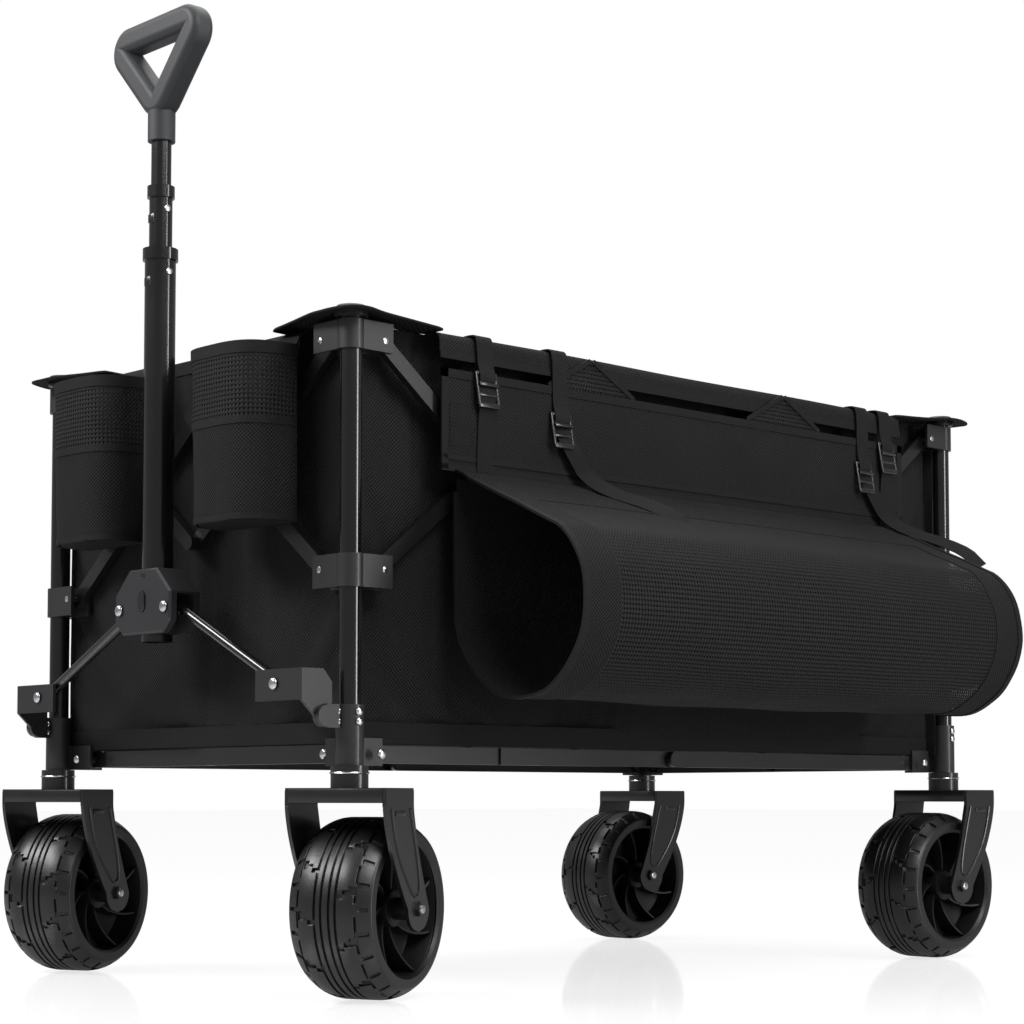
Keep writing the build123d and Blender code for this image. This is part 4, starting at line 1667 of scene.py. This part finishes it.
@dataclass
class SideOrganizer:
    """The panel on the right flank with its straps and buckles, and the long net sling under it."""

    face: float = 0.3136
    half: float = 0.430
    high: float = 0.716
    low: float = 0.600
    centre_x: float = 0.420
    centre_z: float = 0.440
    radius: float = 0.1072
    sling_half: float = 0.404
    body: str = "post_front_right"
    buckles: tuple[tuple[float, float], ...] = (
        (-0.364, 0.698), (-0.242, 0.664), (0.341, 0.664), (0.391, 0.696)
    )

    def keep(self) -> tuple[Point, Point, float]:
        """How the organizer gathers as the frame folds."""
        return ((0, 1, 0), (HALF_X, -0.5295, 0.5), LENGTH_KEEP)

    def section(self) -> list[Vector]:
        """The sling's section, from the panel's lower seam round to the panel's back, as (x, z, 0) points."""
        points = [Vector((self.face + 0.0006, self.low, 0))]
        start, end = math.radians(52), math.radians(-172)
        for index in range(40):
            angle = start + (end - start) * index / 39
            points.append(Vector((self.centre_x + self.radius * math.cos(angle), self.centre_z + self.radius * math.sin(angle), 0)))
        points += [Vector((self.face - 0.0002, 0.470, 0)), Vector((self.face - 0.0002, 0.590, 0))]
        return points

    def panel(self) -> None:
        """The panel, its bindings, its lower seam and the stitched rectangles."""
        def spot(u: float, v: float) -> Vector:
            y = (u * 2 - 1) * self.half
            z = self.low + (self.high - self.low) * v
            bulge = 0.0016 * math.sin(math.pi * v) + ripple(
                (0, y, z), 12.0, 0.0014
            ) * math.sin(math.pi * v)
            return Vector((self.face + bulge, y, z))

        obj = surface("organizer_panel", 120, 20, (2 * self.half, self.high - self.low), spot)
        settle(
            smooth(thicken(obj, 0.0022), 60),
            self.body,
            OXFORD,
            replaces=["side_organizer"],
            squash=self.keep(),
        )
        for name, height, width in (
            ("top", self.high - 0.005, 0.010),
            ("seam", self.low + 0.014, 0.006),
            ("foot", self.low + 0.002, 0.008),
        ):
            line = [
                (self.face + 0.0016, -self.half, height), (self.face + 0.0016, self.half, height)
            ]
            settle(
                tape(f"organizer_{name}_binding", line, (0, 0, 1), width, 0.0022, rows=60, steps=0),
                self.body,
                TAPE,
                squash=self.keep(),
            )
        for name, y in (("near", -self.half + 0.005), ("far", self.half - 0.005)):
            line = [(self.face + 0.0016, y, self.low), (self.face + 0.0016, y, self.high)]
            settle(
                tape(f"organizer_{name}_binding", line, (0, 1, 0), 0.010, 0.0022, rows=12, steps=0),
                self.body,
                TAPE,
                squash=self.keep(),
            )

    def sling(self) -> None:
        """The sling: net with solid cloth borders, open at both ends."""
        points = self.section()
        length = sum((b - a).length for a, b in zip(points, points[1:]))

        def spot(
            grow: float, first: float, last: float, low: float, high: float
        ) -> Callable[[float, float], Vector]:
            def place(u: float, v: float) -> Vector:
                y = low + (high - low) * u
                share = first + (last - first) * v
                at = along(points, share)
                away = Vector((at.x - self.centre_x, at.y - self.centre_z))
                slack = 0.0040 * math.sin(
                    math.pi * min(1.0, share * 1.15)
                ) * (0.4 + 0.6 * math.cos(y * 5.0)) - 0.0038
                slack += ripple((share * 2, y, 0), 9.0, 0.0022) * math.sin(math.pi * share)
                way = away.normalized() * (grow + slack) if 0.03 < share < 0.75 else Vector((0, 0))
                return Vector((at.x + way.x, y, at.y + way.y))
            return place

        edge, top, foot = 0.052, 0.115, 0.60
        net = surface(
            "sling_net",
            110,
            60,
            (2 * self.sling_half, length * (foot - top)),
            spot(
                0,
                top - 0.01,
                foot + 0.01,
                -self.sling_half + edge * 0.8,
                self.sling_half - edge * 0.8,
            ),
        )
        settle(smooth(thicken(net, 0.0016), 60), self.body, NET, squash=self.keep())
        bands = (
            ("top", 0.0, top, -self.sling_half, self.sling_half),
            ("back", foot, 1.0, -self.sling_half, self.sling_half),
            ("near", top - 0.005, foot + 0.005, -self.sling_half, -self.sling_half + edge),
            ("far", top - 0.005, foot + 0.005, self.sling_half - edge, self.sling_half),
        )
        for name, first, last, low, high in bands:
            flat = (high - low, length * (last - first))
            band = surface(
                f"sling_{name}_cloth",
                110 if high - low > 0.2 else 10,
                14 if high - low > 0.2 else 60,
                flat,
                spot(0.0008, first, last, low, high),
            )
            settle(smooth(thicken(band, 0.0018), 60), self.body, OXFORD, squash=self.keep())
        for name, y in (("near", -self.sling_half), ("far", self.sling_half)):
            rim = surface(
                f"sling_{name}_binding",
                3,
                90,
                (0.010, length),
                spot(0.0014, 0.0, 0.98, y - 0.005, y + 0.005),
            )
            settle(smooth(thicken(rim, 0.0030), 60), self.body, TAPE, squash=self.keep())

    def buckle(self, index: int, y: float, z: float) -> None:
        """A ladder-lock buckle: a waisted frame with three bars, pressed in one piece, tilted out at its foot."""
        parts = [
            block("rail", (-0.0022, -0.0175, -0.020), (0.0022, -0.0125, 0.020), 0.0016, 3),
            block("rail", (-0.0022, 0.0125, -0.020), (0.0022, 0.0175, 0.020), 0.0016, 3),
            rod("bar", (0, -0.015, 0.018), (0, 0.015, 0.018), 0.0026, 16),
            rod("bar", (0.0028, -0.015, 0.004), (0.0028, 0.015, 0.004), 0.0026, 16),
            rod("bar", (0, -0.015, -0.008), (0, 0.015, -0.008), 0.0024, 16),
            block("thumb", (-0.0018, -0.0165, -0.024), (0.0022, 0.0165, -0.0165), 0.0018, 3),
        ]
        obj = join(f"buckle_{index}", parts)
        obj.data.transform(Matrix.Translation((self.face + 0.0075, y, z)) @ Matrix.Rotation(math.radians(-9), 4, "Y"))
        settle(smooth(obj), self.body, BUTTON_BLACK, squash=self.keep())

    def straps(self) -> None:
        """The hanging straps over the rim, the tails, and the two slanted straps down to the sling."""
        out = self.face + 0.0034
        for index, (y, z) in enumerate(self.buckles):
            self.buckle(index, y, z)
            hang = [
                (self.face - 0.030, y, 0.7606),
                (self.face - 0.010, y, 0.7618),
                (self.face + 0.0022, y, 0.7600),
                (out, y, 0.742),
                (out, y, z + 0.030),
                (out + 0.0065, y, z + 0.012),
                (out + 0.002, y, z + 0.002),
            ]
            settle(
                tape(f"organizer_strap_{index}", hang, (0, 1, 0), 0.0245, 0.0015),
                self.body,
                TAPE,
                squash=self.keep(),
            )
        for index in (0, 3):
            y, z = self.buckles[index]
            tail = [
                (out + 0.003, y, z + 0.006),
                (out + 0.0070, y, z - 0.012),
                (out + 0.0015, y, z - 0.035),
                (out - 0.0004, y, 0.600),
            ]
            settle(
                tape(f"strap_tail_{index}", tail, (0, 1, 0), 0.0245, 0.0014),
                self.body,
                TAPE,
                squash=self.keep(),
            )
        points = self.section()
        for index, reach in ((1, 0.100), (2, 0.110)):
            y, z = self.buckles[index]
            foot = along(points, 0.115)
            line = [
                (out + 0.002, y, z + 0.004),
                (out + 0.008, y + 0.010, z - 0.020),
                (out + 0.010, y + reach * 0.45, self.low - 0.002),
                (foot.x + 0.006, y + reach, foot.y + 0.004),
                (foot.x + 0.030, y + reach + 0.010, foot.y - 0.024),
            ]
            settle(
                tape(f"slant_strap_{index}", line, (0.12, 1, 0.45), 0.0235, 0.0015),
                self.body,
                TAPE,
                squash=self.keep(),
            )

    def stitches(self) -> None:
        """Short raised stitches in two boxes at the panel's lower left."""
        parts = []
        for y0, z0, wide, tall in ((-0.418, 0.628, 0.034, 0.022), (-0.418, 0.654, 0.034, 0.022)):
            for k in range(9):
                share = k / 8
                for dy, dz, dim in (
                    (share * wide, 0, "y"),
                    (share * wide, tall, "y"),
                    (0, share * tall, "z"),
                    (wide, share * tall, "z"),
                ):
                    size = (0.0004, 0.0013, 0.0004) if dim == "y" else (0.0004, 0.0004, 0.0013)
                    at = Vector((self.face + 0.0032, y0 + dy, z0 + dz))
                    parts.append((at, size))
        clear_selection()
        bpy.ops.mesh.primitive_ico_sphere_add(subdivisions=1, radius=1.0)
        bead = bpy.context.object
        places = [Matrix.Translation(at) @ Matrix.Diagonal((*size, 1)) for at, size in parts]
        settle(
            smooth(join("organizer_stitches", stamped(bead, places))),
            self.body,
            TAPE,
            squash=self.keep(),
        )
        discard(bead)

    def build(self) -> None:
        """Builds the organizer."""
        self.panel()
        self.sling()
        self.straps()
        self.stitches()


@dataclass
class Studio:
    """The floor, the soft lights and the camera."""

    lens: float = 80.2
    shift_y: float = 0.148
    place: Point = (2.251, -2.145, 0.225)
    azimuth: float = 46.67
    pitch: float = 3.35

    def floor(self) -> None:
        """A pale glossy floor."""
        clear_selection()
        bpy.ops.mesh.primitive_plane_add(size=60.0, location=(0, 0, -0.0006))
        obj = bake_place(bpy.context.object)
        obj.name = "studio_floor"
        material = bpy.data.materials.new("Studio floor")
        material.use_nodes = True
        material.node_tree.nodes.clear()
        bench = NodeBench(material.node_tree)
        shader = bench.add("ShaderNodeBsdfPrincipled", in_Roughness=0.07)
        shader.inputs["Base Color"].default_value = (0.42, 0.42, 0.43, 1)
        shader.inputs["Specular IOR Level"].default_value = 0.9
        shader.inputs["Emission Color"].default_value = (1, 1, 1, 1)
        seen = bench.add("ShaderNodeLightPath")
        bench.link(
            bench.maths("ADD", bench.maths("MULTIPLY", seen.outputs["Is Camera Ray"], 0.50), 0.22),
            shader.inputs["Emission Strength"],
        )
        bench.link(shader.outputs[0], bench.add("ShaderNodeOutputMaterial").inputs[0])
        obj.data.materials.append(material)

    def light(
        self, name: str, place: Point, aim: Point, size: tuple[float, float], power: float
    ) -> None:
        """One soft rectangular light."""
        lamp = bpy.data.lights.new(name, "AREA")
        lamp.shape = "RECTANGLE"
        lamp.size, lamp.size_y = size
        lamp.energy = power
        obj = bpy.data.objects.new(name, lamp)
        bpy.context.collection.objects.link(obj)
        obj.location = place
        obj.rotation_euler = (Vector(aim) - Vector(place)).to_track_quat("-Z", "Y").to_euler()

    def camera(self) -> None:
        """The camera at its measured place."""
        data = bpy.data.cameras.new("camera")
        data.sensor_width = 36.0
        data.lens = self.lens
        data.shift_y = self.shift_y
        data.clip_start = 0.05
        data.clip_end = 100.0
        camera = bpy.data.objects.new("camera", data)
        bpy.context.collection.objects.link(camera)
        camera.location = self.place
        camera.rotation_euler = (math.radians(90 + self.pitch), 0, math.radians(self.azimuth))
        bpy.context.scene.camera = camera

    def build(self) -> None:
        """Sets the stage."""
        self.floor()
        self.light("key", (2.4, -0.6, 2.6), (0, 0, 0.5), (1.6, 1.6), 70)
        self.light("front_strip", (-1.0, -2.7, 2.4), (0.1, -0.6, 0.2), (2.4, 0.7), 95)
        self.light("side_strip", (3.4, 1.2, 1.0), (0, 0, 0.5), (0.5, 2.4), 50)
        self.light("top", (-0.4, 0.2, 3.2), (0, 0, 0.4), (2.6, 2.6), 60)
        world = bpy.data.worlds.new("studio")
        world.use_nodes = True
        bench = NodeBench(world.node_tree)
        seen = bench.add("ShaderNodeLightPath")
        backdrop = world.node_tree.nodes["Background"]
        backdrop.inputs["Color"].default_value = (1, 1, 1, 1)
        bench.link(
            bench.maths("ADD", bench.maths("MULTIPLY", seen.outputs["Is Camera Ray"], 0.73), 0.27),
            backdrop.inputs["Strength"],
        )
        bpy.context.scene.world = world
        bpy.context.scene.view_settings.view_transform = "Standard"
        self.camera()


def main() -> None:
    """Builds the whole scene in order."""
    logging.basicConfig(level=logging.INFO)
    for maker in (ScissorFrame(), Casters(), PullHandle(), CampBag(), SideOrganizer(), Studio()):
        maker.build()
        LOG.info("%s done", type(maker).__name__)


if __name__ == "__main__":
    main()
